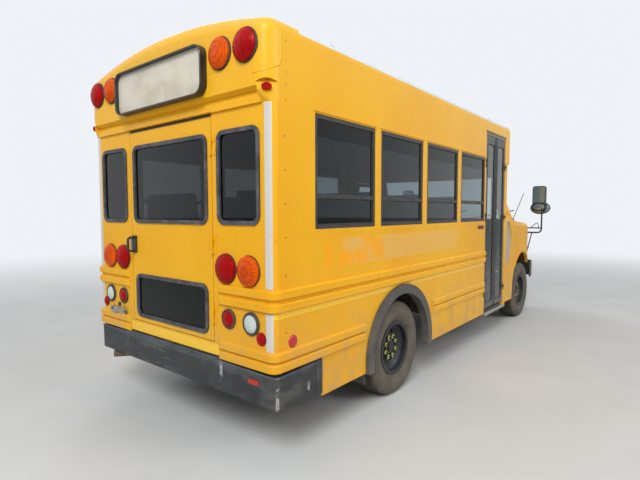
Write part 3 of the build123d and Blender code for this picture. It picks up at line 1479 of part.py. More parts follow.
def make_mirrors():
    """A tall head on a hooped arm with an oval cross-view mirror and stays, on each front fender."""
    s = MIRROR_S
    x = MIRROR_POST_X
    lean = asin((s - NOSE_BEND_S) / nose_turn_r())
    root = (nose_x(s), station(s), (ARM_Z + ARM_TOP_Z) / 2)
    foot = Plane(origin=root, x_dir=(0, 0, 1), z_dir=(cos(lean), -sin(lean), 0))
    mirror = extrude(foot * RectangleRounded(ARM_TOP_Z - ARM_Z + 40, 56, 8), amount=8)
    mirror += tube([on_fender(s, ARM_Z, 5.5), (x, s, ARM_Z), (x, s, MIRROR_HEAD_Z0 + 20)], ARM_R, 55)
    mirror += tube([on_fender(s, ARM_TOP_Z, 5.5), (x, s, ARM_TOP_Z)], ARM_R - 2, 0)
    peak = ARM_TOP_Z + 85
    mirror += tube([(x - 150, s, ARM_TOP_Z), (x - 58, s, peak), (x - 30, s, ARM_TOP_Z)], 5, 12)
    mirror += tube([(x - 130, s, ARM_Z), on_fender(s + 30, STAY_Z, 8)], STAY_R, 0)
    half = MIRROR_HEAD_WIDTH / 2
    outline = rect(MIRROR_HEAD_X - half, MIRROR_HEAD_X + half, MIRROR_HEAD_Z0, MIRROR_HEAD_Z1, 34)
    head = lengthwise(outline, s - MIRROR_HEAD_DEPTH / 2, s + MIRROR_HEAD_DEPTH / 2)
    mirror += fillet(head.faces().sort_by(Axis.Y)[0].edges(), 26)
    return both_sides(mirror + cross_view())


def cross_view():
    """The oval mirror's rim and backing plate, held ahead of the post by a short lug."""
    s = MIRROR_S + CROSS_VIEW_AHEAD
    oval = Pos(MIRROR_HEAD_X, CROSS_VIEW_Z) * Ellipse(CROSS_VIEW_A, CROSS_VIEW_B)
    hollow = Pos(MIRROR_HEAD_X, CROSS_VIEW_Z) * Ellipse(CROSS_VIEW_A - 8, CROSS_VIEW_B - 8)
    rim = lengthwise(oval - hollow, s - 12, s) + lengthwise(oval, s, s + 5)
    z = CROSS_VIEW_Z - CROSS_VIEW_B * 0.7
    return rim + block(MIRROR_POST_X - 7, MIRROR_POST_X + 7, MIRROR_S, s + 2, z - 8, z + 8)


def bench(s):
    """A bench on its aisle legs and wall rail, with a high padded back."""
    z = FLOOR_Z
    x0 = AISLE_HALF
    x1 = HALF - WALL - GAP
    cushion = z + SEAT_Z
    pads = poly(
        (s + 30, cushion - 20), (s + 460, cushion), (s + 460, cushion + SEAT_PAD),
        (s + 165, cushion + SEAT_PAD + 10), (s + 110, z + SEAT_BACK_Z), (s + 40, z + SEAT_BACK_Z),
        (s + 20, cushion + SEAT_PAD),
    )
    seat = crosswise(fillet(pads.vertices(), 16), x0, x1)
    seat += block(x0 + 30, x0 + 85, s + 60, s + 445, z, z + 12)
    for leg in (s + 90, s + 380):
        seat += block(x0 + 40, x0 + 75, leg, leg + 35, z, cushion)
    return seat + block(x1 - 40, x1, s + 90, s + 415, cushion - 40, cushion)


def make_seats():
    """Benches on both sides of the aisle, and the driver's seat on a box."""
    benches = []
    for i in range(WINDOW_COUNT):
        benches += both_sides(bench(WINDOW_FIRST_S - 28 + i * WINDOW_PITCH))
    z = FLOOR_Z
    s = DRIVER_SEAT_S
    pads = poly(
        (s - 30, z + 330), (s + 480, z + 330), (s + 480, z + 430), (s + 120, z + 440), (s + 40, z + 980),
        (s - 50, z + 980), (s - 50, z + 400),
    )
    x0 = DRIVER_SEAT_X - DRIVER_SEAT_HALF
    x1 = DRIVER_SEAT_X + DRIVER_SEAT_HALF
    seat = crosswise(fillet(pads.vertices(), 18), x0, x1)
    return benches + [seat + block(x0 + 50, x1 - 50, s + 20, s + 400, z, z + 330)]


def make_dash():
    """The panel under the screen, with the steering wheel on its column."""
    back = FENDER_BACK_S - 20
    half = CAB_HALF - 110
    dash = crosswise(poly((4300, 1080), (back, 1080), (back, 1340), (4340, 1340), (4300, 1280)), -half, half)
    column = Plane(origin=(DRIVER_SEAT_X, station(4330), 1200), x_dir=(1, 0, 0), z_dir=(0, 0.7, 0.71))
    dash += extrude(column * Circle(25), amount=COLUMN)
    hub = column.offset(COLUMN)
    dash += extrude(hub * (Circle(55) + rect(-WHEEL_RIM_R, WHEEL_RIM_R, -18, 18)), amount=14)
    return dash + Pos(*hub.origin) * (Rot(-44.6, 0, 0) * Torus(WHEEL_RIM_R, 14))


def make_stop_arm():
    """A blank eight-sided blade on a hinge barrel."""
    x = HALF + STOP_STAND
    blade = Pos(STOP_HINGE_S - 262, STOP_Z) * RegularPolygon(STOP_HALF, 8, major_radius=False, rotation=22.5)
    neck = rect(STOP_HINGE_S - 60, STOP_HINGE_S, STOP_Z - STOP_BARREL / 2, STOP_Z + STOP_BARREL / 2)
    plate = crosswise(blade + neck, x - 3, x + 3)
    centre = Pos(x, station(STOP_HINGE_S), STOP_Z)
    arm = plate + centre * Cylinder(BARREL_R, STOP_BARREL)
    return arm - centre * Cylinder(PIN_R + PIN_SLACK, STOP_BARREL + 1)


def make_stop_bracket():
    """The wall bracket: two ears that hold the blade's hinge pin."""
    x = HALF + STOP_STAND
    ear = STOP_BARREL / 2 + PIN_SLACK
    top = STOP_Z + ear + 12
    low = STOP_Z - ear - 12
    bracket = block(HALF, HALF + 24, STOP_HINGE_S - 20, STOP_HINGE_S + 30, low, top)
    for z in (low, STOP_Z + ear):
        bracket += block(HALF, x + 12, STOP_HINGE_S - 14, STOP_HINGE_S + 14, z, z + 12)
    return bracket + Pos(x, station(STOP_HINGE_S), STOP_Z) * Cylinder(PIN_R, 2 * ear)


PARTS = {
    "side_panel_left": make_side(1),
    "side_panel_right": make_side(-1),
    "window_bands": make_window_bands(),
    "roof_sides": make_roof_sides(),
    "roof": make_roof(),
    "rub_rails": make_rub_rails(),
    "rear_wall": make_rear_wall(),
    "rear_cap": make_rear_cap(),
    "front_cap": make_front_cap(),
    "floor": make_floor(),
    "window_frames": make_window_frames() + make_rear_seals(),
    "body_glass": make_side_glass() + make_rear_glass() + make_vision_glass(),
    "arch_flares": make_arch_flares(),
    "cab_shell": make_cab_shell(),
    "windshield": make_windshield(),
    "fenders": make_fenders(),
    "grille": make_grille(),
    "front_bumper": make_front_bumper(),
    "rear_bumper": make_rear_bumper(),
    "chassis_frame": make_chassis(),
    "rear_axle": make_rear_axle(),
    "front_suspension": make_front_suspension(),
    "engine_block": make_engine(),
    "fuel_tank": make_fuel_tank(),
    "exhaust": make_exhaust(),
    "seats": make_seats(),
    "dash": make_dash(),
    "lamps_red": lamps(RED_LAMPS) + corner_markers(),
    "lamps_amber": make_amber_lamps(),
    "lamps_clear": make_clear_lamps(),
    "signs": make_signs(),
    "mirrors": make_mirrors(),
    "emergency_door": make_emergency_door(),
    "emergency_seals": make_emergency_seals(),
    "emergency_glass": make_emergency_glass(),
    "entrance_leaf_rear": entry_leaf(*REAR_LEAF),
    "entrance_leaf_front": entry_leaf(*FRONT_LEAF),
    "entrance_glass_rear": entry_glass(*REAR_LEAF),
    "entrance_glass_front": entry_glass(*FRONT_LEAF),
    "driver_door": make_driver_door(),
    "driver_glass": make_driver_glass(),
    "hood": make_hood(),
    "stop_arm": make_stop_arm(),
    "stop_bracket": make_stop_bracket(),
    "knuckle_left": make_knuckle(1),
    "knuckle_right": make_knuckle(-1),
}

for side, sign in (("left", 1), ("right", -1)):
    for end, s, track in (("front", FRONT_AXLE_S, TRACK_FRONT), ("rear", REAR_AXLE_S, TRACK_REAR)):
        PARTS[f"tyre_{end}_{side}"] = make_tyre(track / 2, s, sign)
        PARTS[f"rim_{end}_{side}"] = make_rim(track / 2, s, sign)

os.makedirs("parts", exist_ok=True)
for name, shape in PARTS.items():
    solids = shape if isinstance(shape, list) else shape.solids()
    export_step(Compound(children=list(solids)), f"parts/{name}.step")
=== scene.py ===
"""Looks of a short school bus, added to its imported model. Sizes are in mm, and at() makes metres of them."""

from math import asin, cos, degrees, hypot, pi, radians, sin, sqrt

import bmesh
import bpy
from mathutils import Matrix, Vector


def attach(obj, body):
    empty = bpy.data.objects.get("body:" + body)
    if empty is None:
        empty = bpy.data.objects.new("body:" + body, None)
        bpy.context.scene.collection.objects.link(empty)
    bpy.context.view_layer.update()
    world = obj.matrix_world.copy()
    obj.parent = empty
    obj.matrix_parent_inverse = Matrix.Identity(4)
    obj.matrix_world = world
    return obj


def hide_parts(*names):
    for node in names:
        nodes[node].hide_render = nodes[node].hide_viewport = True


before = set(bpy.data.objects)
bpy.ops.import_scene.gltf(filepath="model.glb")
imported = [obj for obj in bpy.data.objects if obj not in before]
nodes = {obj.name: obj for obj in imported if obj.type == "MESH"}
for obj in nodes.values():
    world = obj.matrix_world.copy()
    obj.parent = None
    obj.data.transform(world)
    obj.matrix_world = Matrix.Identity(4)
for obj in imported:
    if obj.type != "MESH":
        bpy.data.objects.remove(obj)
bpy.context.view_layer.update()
scene = bpy.context.scene

# The model's own sizes that trim sits on, in mm except REAR_Y. An s is a station ahead of the rear wall
MM = 0.001
REAR_Y = 2.906
HALF = 1015
ROOF_Z = 2668
CROWN_R = 3990
EDGE_X = 935
EDGE_R = HALF - EDGE_X
CORNER_R = 39
CAP_PROUD = 45
CAP_CORNER_R = 100
REAR_DOOR_HALF = 481
FLOOR_Z = 672
TYRE_R = 382
CAB_HALF = 990
AXLES = (("front", 4976, 1724), ("rear", 1445, 1718))
WINDOWS_S = (358, 1120, 1882, 2644)
PILLARS_S = (1081, 1843, 2605)

SIDES = (("left", 1), ("right", -1))
REARWARD = (0, 1, 0)
FORWARD = (0, -1, 0)
UPWARD = (0, 0, 1)


def at(x, s, z):
    """A point of the frame, in metres, from x, station and height in mm."""
    return Vector((x * MM, REAR_Y - s * MM, z * MM))


# Meshes


def linked(name, data):
    obj = bpy.data.objects.new(name, data)
    scene.collection.objects.link(obj)
    return obj


def piece(name, verts, faces, mat, body="root", smooth=False):
    mesh = bpy.data.meshes.new(name)
    mesh.from_pydata([tuple(v) for v in verts], [], faces)
    mesh.validate()
    mesh.materials.append(mat)
    for face in mesh.polygons:
        face.use_smooth = smooth
    obj = linked(name, mesh)
    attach(obj, body)
    return obj


def facing(normal):
    """Two unit vectors that span the plane across normal, the second as upright as it can be, and normal."""
    n = Vector(normal).normalized()
    up = Vector((0, 0, 1)) if abs(n.z) < 0.9 else Vector((0, 1, 0))
    side = up.cross(n).normalized()
    return side, n.cross(side).normalized(), n


def oval(origin, normal, a, b, h, steps):
    """Points of an oval of half axes a and b, raised by h along normal, or its middle alone where a is 0."""
    side, up, n = facing(normal)
    middle = origin + n * h * MM
    if not a:
        return [middle]
    turns = [2 * pi * i / steps for i in range(steps)]
    return [middle + (side * a * cos(t) + up * b * sin(t)) * MM for t in turns]


def skin(rings, verts, faces, ends="open"):
    """Adds the skin over rings of points to a mesh's lists. The ends stay open, or are flat or joined."""
    starts = []
    for ring in rings:
        starts.append(len(verts))
        verts += ring
    pairs = list(zip(range(len(rings)), range(1, len(rings))))
    if ends == "joined":
        pairs.append((len(rings) - 1, 0))
    for k, after in pairs:
        a = len(rings[k])
        b = len(rings[after])
        for i in range(max(a, b)):
            low = (starts[k] + i % a, starts[k] + (i + 1) % a)
            high = (starts[after] + (i + 1) % b, starts[after] + i % b)
            faces.append(tuple(dict.fromkeys(low + high)))
    if ends == "flat":
        faces.append(tuple(reversed(range(starts[0], starts[0] + len(rings[0])))))
        faces.append(tuple(range(starts[-1], starts[-1] + len(rings[-1]))))


def loft(name, rings, mat, body="root", ends="open", smooth=True):
    """One piece of skin over rings of points, its normals turned outward."""
    verts = []
    faces = []
    skin(rings, verts, faces, ends)
    obj = piece(name, verts, faces, mat, body, smooth)
    bm = bmesh.new()
    bm.from_mesh(obj.data)
    bmesh.ops.recalc_face_normals(bm, faces=bm.faces)
    bm.to_mesh(obj.data)
    bm.free()
    return obj


def turned(name, profile, origin, normal, mat, body="root"):
    """A profile of (radius, height) turned round normal at origin."""
    return loft(name, [oval(origin, normal, r, r, h, 40) for r, h in profile], mat, body)


def dished(name, centre, normal, a, b, rise, mat):
    """An oval face that bulges along its normal."""
    rings = []
    for t in (k / 7 for k in range(8)):
        rings.append(oval(centre, normal, a * t, b * t, rise * (1 - t * t), 36))
    return loft(name, rings, mat)


def studs(name, places, r, h, mat, body="root"):
    """Low domed heads, rivets or screws, at (point, normal) places, as one piece."""
    verts = []
    faces = []
    for origin, normal in places:
        section = ((1, 0), (0.92, 0.55), (0.5, 0.93), (0, 1))
        skin([oval(origin, normal, r * a, r * a, h * b, 8) for a, b in section], verts, faces)
    return piece(name, verts, faces, mat, body, True)


def rod(name, points, r, mat, body="root", steps=10):
    """A round bar through points."""
    up = None
    rings = []
    for i, p in enumerate(points):
        way = (points[min(i + 1, len(points) - 1)] - points[max(i - 1, 0)]).normalized()
        if up is None:
            up = Vector((0, 0, 1)) if abs(way.z) < 0.9 else Vector((1, 0, 0))
        side = way.cross(up).normalized()
        up = side.cross(way).normalized()
        turns = [2 * pi * k / steps for k in range(steps)]
        rings.append([p + (side * cos(t) + up * sin(t)) * r * MM for t in turns])
    return loft(name, rings, mat, body, "flat")


def slab(name, outline, origin, normal, thick, mat, body="root", edge=0, hole=None):
    """An outline across normal, raised by thick, with a chamfered front edge and an optional hole."""
    side, up, n = facing(normal)
    cu, cv = (sum(p[k] for p in outline) / len(outline) for k in (0, 1))

    def ring(points, height, inset):
        loop = []
        for u, v in points:
            k = 1 - inset / max(hypot(u - cu, v - cv), MM)
            loop.append(origin + (side * (cu + (u - cu) * k) + up * (cv + (v - cv) * k) + n * height) * MM)
        return loop

    levels = [(0, 0), (thick - edge, 0), (thick, edge)]
    if not edge:
        levels.pop()
    rings = [ring(outline, height, inset) for height, inset in levels]
    if not hole:
        return loft(name, rings, mat, body, "flat", False)
    rings += [ring(hole, height, -inset) for height, inset in reversed(levels)]
    return loft(name, rings, mat, body, "joined", False)


def rounded(a, b, r):
    """Outline of a rounded rectangle of half sizes a and b, anticlockwise."""
    points = []
    for quarter, (u, v) in enumerate(((a - r, b - r), (r - a, b - r), (r - a, r - b), (a - r, r - b))):
        for i in range(6):
            t = radians(90 * quarter + 18 * i)
            points.append((u + r * cos(t), v + r * sin(t)))
    return points


def panel(name, centre, normal, w, h, r, thick, mat, body="root", rim=0, edge=0.6):
    """A rounded plate on centre, or a frame of width rim."""
    hole = rounded(w / 2 - rim, h / 2 - rim, max(r - rim, 2)) if rim else None
    return slab(name, rounded(w / 2, h / 2, max(r, 1)), centre, normal, thick, mat, body, edge, hole)


def strip(name, rows, h, mat):
    """A thin band over rows of (edge, other edge, normal), raised by h."""
    rings = []
    for a, b, normal in rows:
        n = Vector(normal).normalized() * MM
        rings.append([a - n * 0.5, b - n * 0.5, b + n * h, a + n * h])
    return loft(name, rings, mat, "root", "flat", False)


def joined(name, objects):
    """One object from several that share a body."""
    first = objects[0]
    bm = bmesh.new()
    mats = []
    for o in objects:
        start = len(bm.faces)
        bm.from_mesh(o.data)
        bm.faces.ensure_lookup_table()
        for face in bm.faces[start:]:
            m = o.data.materials[face.material_index]
            if m not in mats:
                mats.append(m)
            face.material_index = mats.index(m)
    bm.to_mesh(first.data)
    bm.free()
    first.data.materials.clear()
    for m in mats:
        first.data.materials.append(m)
    for o in objects[1:]:
        bpy.data.objects.remove(o)
    first.name = name
    return first


# Materials


class Look:
    """A procedural material round one Principled shader, in object coordinates."""

    def __init__(self, name, color, metal=0.0, **sockets):
        self.mat = bpy.data.materials.new(name)
        self.mat.use_nodes = True
        self.mat.diffuse_color = (*color, 1)
        self.tree = self.mat.node_tree
        self.shader = next(n for n in self.tree.nodes if n.type == "BSDF_PRINCIPLED")
        self.shader.inputs["Base Color"].default_value = (*color, 1)
        self.shader.inputs["Metallic"].default_value = metal
        for key, value in sockets.items():
            self.shader.inputs[key.replace("_", " ")].default_value = value
        self.coords = self.node("ShaderNodeTexCoord").outputs["Object"]
        split = self.node("ShaderNodeSeparateXYZ")
        self.link(self.coords, split.inputs[0])
        self.x, self.y, self.z = split.outputs

    def node(self, kind, **settings):
        n = self.tree.nodes.new(kind)
        for key, value in settings.items():
            setattr(n, key, value)
        return n

    def link(self, a, b):
        self.tree.links.new(a, b)

    def feed(self, socket, value):
        if isinstance(value, (int, float)):
            socket.default_value = value
        elif isinstance(value, tuple):
            socket.default_value = (*value, 1)
        else:
            self.link(value, socket)

    def texture(self, kind, stretch, **values):
        mapping = self.node("ShaderNodeMapping")
        mapping.inputs["Scale"].default_value = stretch
        self.link(self.coords, mapping.inputs["Vector"])
        n = self.node(kind)
        for key, value in values.items():
            n.inputs[key].default_value = value
        self.link(mapping.outputs[0], n.inputs["Vector"])
        return n.outputs[0]

    def noise(self, scale, detail=3.0, rough=0.55, stretch=(1, 1, 1)):
        return self.texture("ShaderNodeTexNoise", stretch, Scale=scale, Detail=detail, Roughness=rough)

    def cells(self, scale, stretch=(1, 1, 1)):
        return self.texture("ShaderNodeTexVoronoi", stretch, Scale=scale)

    def math(self, op, a, b=0.0):
        n = self.node("ShaderNodeMath", operation=op)
        self.feed(n.inputs[0], a)
        self.feed(n.inputs[1], b)
        return n.outputs[0]

    def times(self, a, b):
        return self.math("MULTIPLY", a, b)

    def plus(self, a, b):
        return self.math("ADD", a, b)

    def most(self, a, b):
        return self.math("MAXIMUM", a, b)

    def distance(self, a, b):
        """The root of the sum of two squares."""
        return self.math("SQRT", self.plus(self.times(a, a), self.times(b, b)))

    def span(self, value, low, high, out0=0.0, out1=1.0):
        """Maps low..high to out0..out1, clamped and smooth."""
        n = self.node("ShaderNodeMapRange", interpolation_type="SMOOTHSTEP")
        keys = ("Value", "From Min", "From Max", "To Min", "To Max")
        for key, v in zip(keys, (value, low, high, out0, out1)):
            self.feed(n.inputs[key], v)
        return n.outputs[0]

    def within(self, value, low, high, soft):
        """1 between low and high, fading over soft outside."""
        return self.times(self.span(value, low - soft, low), self.span(value, high, high + soft, 1.0, 0.0))

    def zone(self, x=None, s=None, z=None, soft=10.0):
        """1 inside a box given in mm by x, station and z ranges."""
        if s:
            s = (REAR_Y / MM - s[1], REAR_Y / MM - s[0])
        mask = 1.0
        for value, limits in ((self.x, x), (self.y, s), (self.z, z)):
            if limits:
                mask = self.times(mask, self.within(value, limits[0] * MM, limits[1] * MM, soft * MM))
        return mask

    def mix(self, fac, a, b):
        n = self.node("ShaderNodeMix", data_type="RGBA")
        self.feed(n.inputs[0], fac)
        self.feed(n.inputs[6], a)
        self.feed(n.inputs[7], b)
        return n.outputs[2]

    def blend(self, base, color, value, low, high, most=1.0, least=0.0):
        """base, with color over it as value goes from low to high."""
        return self.mix(self.span(value, low, high, least, most), base, color)

    def done(self, color, rough, height, strength, distance):
        """The material, with its colour, roughness and relief joined up."""
        self.feed(self.shader.inputs["Base Color"], color)
        self.feed(self.shader.inputs["Roughness"], rough)
        n = self.node("ShaderNodeBump")
        n.inputs["Strength"].default_value = strength
        n.inputs["Distance"].default_value = distance
        self.link(height, n.inputs["Height"])
        self.link(n.outputs[0], self.shader.inputs["Normal"])
        return self.mat


YELLOW = (0.82, 0.42, 0.010)
YELLOW_DEEP = (0.77, 0.36, 0.008)
YELLOW_PALE = (0.83, 0.47, 0.045)
DUST = (0.36, 0.28, 0.18)
ROOF_BORDER = REAR_Y + 1.026
ROOF_NOSE = REAR_Y - 4.042


def make_paint():
    """Yellow enamel, paler towards the top, with slightly wavy panels, road dust low down and the marks of old
    decals.
    """
    m = Look("paint_yellow", YELLOW, Coat_Weight=0.06, Coat_Roughness=0.12, Specular_IOR_Level=0.18)
    fine = m.noise(14.0, 5.0, 0.6)
    c = m.blend(YELLOW, YELLOW_DEEP, m.noise(0.9, 2.0), 0.35, 0.7)
    c = m.blend(c, YELLOW_PALE, m.z, 1.9, 2.7, 0.5)
    c = m.blend(c, (0.55, 0.30, 0.04), m.noise(9.0, 3.0, 0.6, (1, 1, 0.06)), 0.55, 0.85, 0.12)
    # Faded ground of old decals, then brighter paint that they had covered
    right = m.zone(x=(-1030, -1000), soft=2)
    torn = m.noise(16.0, 4.0, 0.7, (1, 1, 0.5))
    ghost = m.times(right, m.zone(s=(640, 2560), z=(1135, 1312), soft=8))
    c = m.mix(m.times(ghost, m.span(torn, 0.3, 0.75, 0.55, 0.25)), c, (0.70, 0.44, 0.16))
    patch = m.zone(s=(880, 1150), z=(1150, 1308), soft=4)
    patch = m.most(patch, m.zone(s=(455, 530), z=(1130, 1290), soft=4))
    patch = m.most(patch, m.zone(s=(600, 900), z=(1140, 1225), soft=14))
    patch = m.times(m.times(right, patch), m.span(torn, 0.36, 0.52, 0.25, 0.95))
    c = m.mix(patch, c, (0.90, 0.36, 0.004))
    # Dust on the lower body
    dust = m.times(m.span(m.z, 0.30, 1.05, 1.0, 0.0), m.span(m.noise(5.0, 5.0, 0.6), 0.35, 0.75, 0.05, 0.55))
    specks = m.times(m.span(m.noise(95.0, 2.0, 0.5), 0.74, 0.84, 0.0, 0.2), m.span(m.z, 0.3, 1.6, 1.0, 0.05))
    c = m.mix(specks, m.mix(dust, c, DUST), (0.30, 0.18, 0.06))
    rough = m.span(m.plus(fine, m.times(dust, 0.8)), 0.35, 1.1, 0.27, 0.62)
    return m.done(c, rough, m.plus(m.noise(2.2, 1.0), m.times(fine, 0.05)), 0.22, 0.012)


def make_white():
    """The roof's dull white, tinted blue as painted sky light, which ends in yellow at both caps."""
    m = Look("paint_white", (0.66, 0.70, 0.72))
    grime = m.noise(7.0, 4.0, 0.6, (0.25, 1, 1))
    # The blue tint in this white is painted sky light; the grey grime and dark specks over it are dirt.
    c = m.blend((0.60, 0.67, 0.74), (0.44, 0.45, 0.45), grime, 0.45, 0.8, 0.55)
    c = m.blend(c, (0.33, 0.31, 0.27), m.noise(40.0, 3.0, 0.6), 0.62, 0.8, 0.4)
    tail = m.span(m.plus(m.y, m.times(m.z, 0.5)), ROOF_BORDER - 0.004, ROOF_BORDER + 0.004)
    nose = m.span(m.y, ROOF_NOSE - 0.004, ROOF_NOSE + 0.004, 1.0, 0.0)
    c = m.mix(m.most(tail, nose), c, YELLOW)
    return m.done(c, m.span(grime, 0.3, 0.8, 0.38, 0.62), m.noise(3.0, 2.0), 0.15, 0.01)


def make_plain(name, color, other, rough, scale=30.0, metal=0.0, grain=0.1, dust=0.0):
    """A two-tone material with fine grain and some dust that thins out upwards."""
    m = Look(name, color, metal)
    n = m.noise(scale, 4.0, 0.6)
    c = m.blend(color, other, n, 0.35, 0.7)
    if dust:
        fog = m.span(m.noise(6.0, 5.0, 0.65), 0.3, 0.75, 0.2, 1.0)
        c = m.mix(m.times(fog, m.span(m.z, 0.1, 1.3, dust, 0.05)), c, DUST)
    return m.done(c, m.span(n, 0.3, 0.75, max(rough - 0.08, 0.03), min(rough + 0.12, 1.0)), n, grain, 0.001)


def make_seal():
    """Grey weathered rubber, mottled darker and paler, with chalky specks."""
    m = Look("seal_rubber", (0.075, 0.076, 0.082), Specular_IOR_Level=0.3)
    n = m.noise(18.0, 4.0, 0.6)
    c = m.blend((0.045, 0.046, 0.052), (0.105, 0.105, 0.115), n, 0.35, 0.7)
    c = m.blend(c, (0.22, 0.21, 0.20), m.noise(70.0, 2.0), 0.6, 0.8, 0.4)
    return m.done(c, 0.62, n, 0.15, 0.001)


def make_glass(name, tint, streaky, band=False):
    """Tinted glass with a thin film of dirt, and a dark band along the top of the side windows."""
    m = Look(name, tint, Transmission_Weight=1.0, IOR=1.33)
    c = m.blend(tint, (0.30, 0.31, 0.30), m.noise(3.5, 4.0, 0.6, (1, 1, 0.4)), 0.45, 0.8, streaky)
    if band:
        c = m.blend(c, (0.012, 0.013, 0.015), m.z, 1.945, 1.952)
    m.feed(m.shader.inputs["Base Color"], c)
    m.feed(m.shader.inputs["Roughness"], m.span(m.noise(9.0, 3.0), 0.4, 0.8, 0.02, 0.08))
    return m.mat


def make_lens(name, color, deep):
    """Moulded lens plastic with small prisms behind a glossy face."""
    m = Look(name, color, Specular_IOR_Level=0.12, Subsurface_Weight=0.1, Subsurface_Scale=0.02)
    m.shader.inputs["Subsurface Radius"].default_value = (0.02, 0.004, 0.002)
    prisms = m.cells(130.0, (1, 0.2, 1))
    c = m.blend(color, deep, prisms, 0.2, 0.8, 0.5)
    return m.done(m.blend(c, deep, m.noise(9.0, 2.0), 0.35, 0.7, 0.5), 0.2, prisms, 0.25, 0.002)


def make_bumper(name, base):
    """Charcoal enamel on steel, dulled and dusty, scraped pale at its bends and along the face, with a painted
    blue-grey sky reflection along the rear bumper's top.
    """
    m = Look(name, base)
    n = m.noise(8.0, 5.0, 0.65)
    c = m.blend(base, tuple(v * 2.1 for v in base), n, 0.35, 0.7)
    c = m.blend(c, (0.16, 0.15, 0.13), m.noise(3.0, 4.0, 0.6, (1, 1, 2.5)), 0.48, 0.75, 0.45)
    corners = m.most(m.zone(x=(1010, 1030), soft=6), m.zone(x=(-1030, -1010), soft=6))
    bends = m.most(m.zone(x=(558, 572)), m.zone(x=(-572, -558)))
    bends = m.most(bends, m.times(corners, m.zone(s=(6, 24), soft=8)))
    bends = m.most(bends, m.times(corners, m.zone(s=(278, 290), z=(410, 470), soft=8)))
    bends = m.times(bends, m.zone(s=(-40, 330), soft=2))
    chips = m.times(m.noise(34.0, 6.0, 0.8, (1, 1, 0.55)), m.span(m.noise(7.0, 2.0), 0.3, 0.6, 0.8, 1.1))
    c = m.mix(m.times(bends, m.span(chips, 0.47, 0.58)), c, (0.36, 0.355, 0.335))
    # Painted sky reflection: a blue-grey band along the rear bumper's upward-facing top.
    edge = m.times(m.zone(s=(-40, 430), z=(545, 590), soft=8), m.span(n, 0.3, 0.6))
    c = m.mix(m.times(edge, 0.6), c, (0.085, 0.105, 0.135))
    lines = m.span(m.noise(30.0, 3.0, 0.5, (0.1, 0.1, 4)), 0.66, 0.70, 0.0, 0.8)
    scraped = m.times(lines, m.span(m.noise(2.3, 2.0), 0.55, 0.66))
    relief = m.plus(m.noise(4.0, 3.0), m.times(scraped, -0.2))
    return m.done(m.mix(scraped, c, (0.42, 0.41, 0.38)), m.span(n, 0.3, 0.7, 0.42, 0.7), relief, 0.3, 0.006)


def make_rust(name, base, amount):
    m = Look(name, base, 0.2)
    n = m.noise(22.0, 6.0, 0.7)
    c = m.blend(base, (0.20, 0.075, 0.03), n, 0.40, 0.66, amount)
    c = m.blend(c, DUST, m.noise(9.0, 5.0, 0.7), 0.5, 0.8, 0.6)
    return m.done(c, m.span(n, 0.3, 0.7, 0.55, 0.9), n, 0.4, 0.002)


def make_tyre(name, s):
    """Dusty rubber: a pale brown film on the sidewall and in the grooves, darker tread, moulded rings."""
    m = Look(name, (0.035, 0.033, 0.032))
    radius = m.distance(m.math("SUBTRACT", m.y, REAR_Y - s * MM), m.math("SUBTRACT", m.z, TYRE_R * MM))
    n = m.noise(7.0, 5.0, 0.65)
    film = m.times(m.span(n, 0.25, 0.7, 0.25, 0.9), m.span(radius, 0.372, 0.382, 1.0, 0.35))
    c = m.blend((0.030, 0.029, 0.028), (0.055, 0.052, 0.048), m.noise(40.0, 3.0), 0.3, 0.7)
    c = m.mix(m.times(film, 0.75), c, (0.17, 0.135, 0.095))
    ringed = m.most(m.within(radius, 0.222, 0.250, 0.004), m.within(radius, 0.330, 0.350, 0.004))
    ribs = m.times(m.math("SINE", m.times(radius, 520.0)), ringed)
    return m.done(c, 0.8, m.plus(ribs, m.times(n, 0.4)), 0.5, 0.0025)


def make_rim(name):
    """Dark blue-grey enamel with settled dust and small patches of rust."""
    m = Look(name, (0.045, 0.055, 0.068))
    n = m.noise(10.0, 5.0, 0.6)
    c = m.blend((0.008, 0.010, 0.013), (0.018, 0.021, 0.023), n, 0.3, 0.7)
    c = m.blend(c, (0.09, 0.075, 0.06), m.noise(4.0, 4.0, 0.65), 0.40, 0.85, 0.40, 0.05)
    c = m.blend(c, (0.16, 0.06, 0.025), m.noise(45.0, 4.0, 0.7), 0.64, 0.74, 0.7)
    return m.done(c, m.span(n, 0.3, 0.7, 0.4, 0.7), n, 0.2, 0.002)


def make_vinyl():
    m = Look("seat_vinyl", (0.035, 0.05, 0.085), Coat_Weight=0.15, Coat_Roughness=0.3)
    n = m.noise(5.0, 4.0)
    c = m.blend((0.028, 0.042, 0.075), (0.055, 0.072, 0.11), n, 0.35, 0.7)
    return m.done(c, 0.5, m.plus(m.cells(420.0), m.times(n, 0.5)), 0.25, 0.0012)


def make_tape(name, color):
    """Retroreflective sheet with a fine cell pattern under a clear face."""
    m = Look(name, color, Coat_Weight=0.4, Coat_Roughness=0.1)
    grid = m.cells(260.0)
    c = m.blend(color, tuple(v * 0.72 for v in color), grid, 0.2, 0.7, 0.35)
    c = m.blend(c, tuple(v * 0.6 for v in color), m.noise(12.0, 5.0, 0.65), 0.55, 0.8, 0.45)
    return m.done(c, 0.3, grid, 0.1, 0.0006)


def make_sign():
    m = Look("sign_face", (0.60, 0.54, 0.44))
    n = m.noise(6.0, 5.0, 0.6, (0.6, 1, 1))
    c = m.blend((0.63, 0.57, 0.47), (0.50, 0.44, 0.35), n, 0.35, 0.75)
    c = m.blend(c, (0.27, 0.24, 0.20), m.noise(25.0, 4.0, 0.6, (1, 1, 0.2)), 0.58, 0.8, 0.45)
    return m.done(c, m.span(n, 0.3, 0.7, 0.32, 0.55), n, 0.08, 0.002)


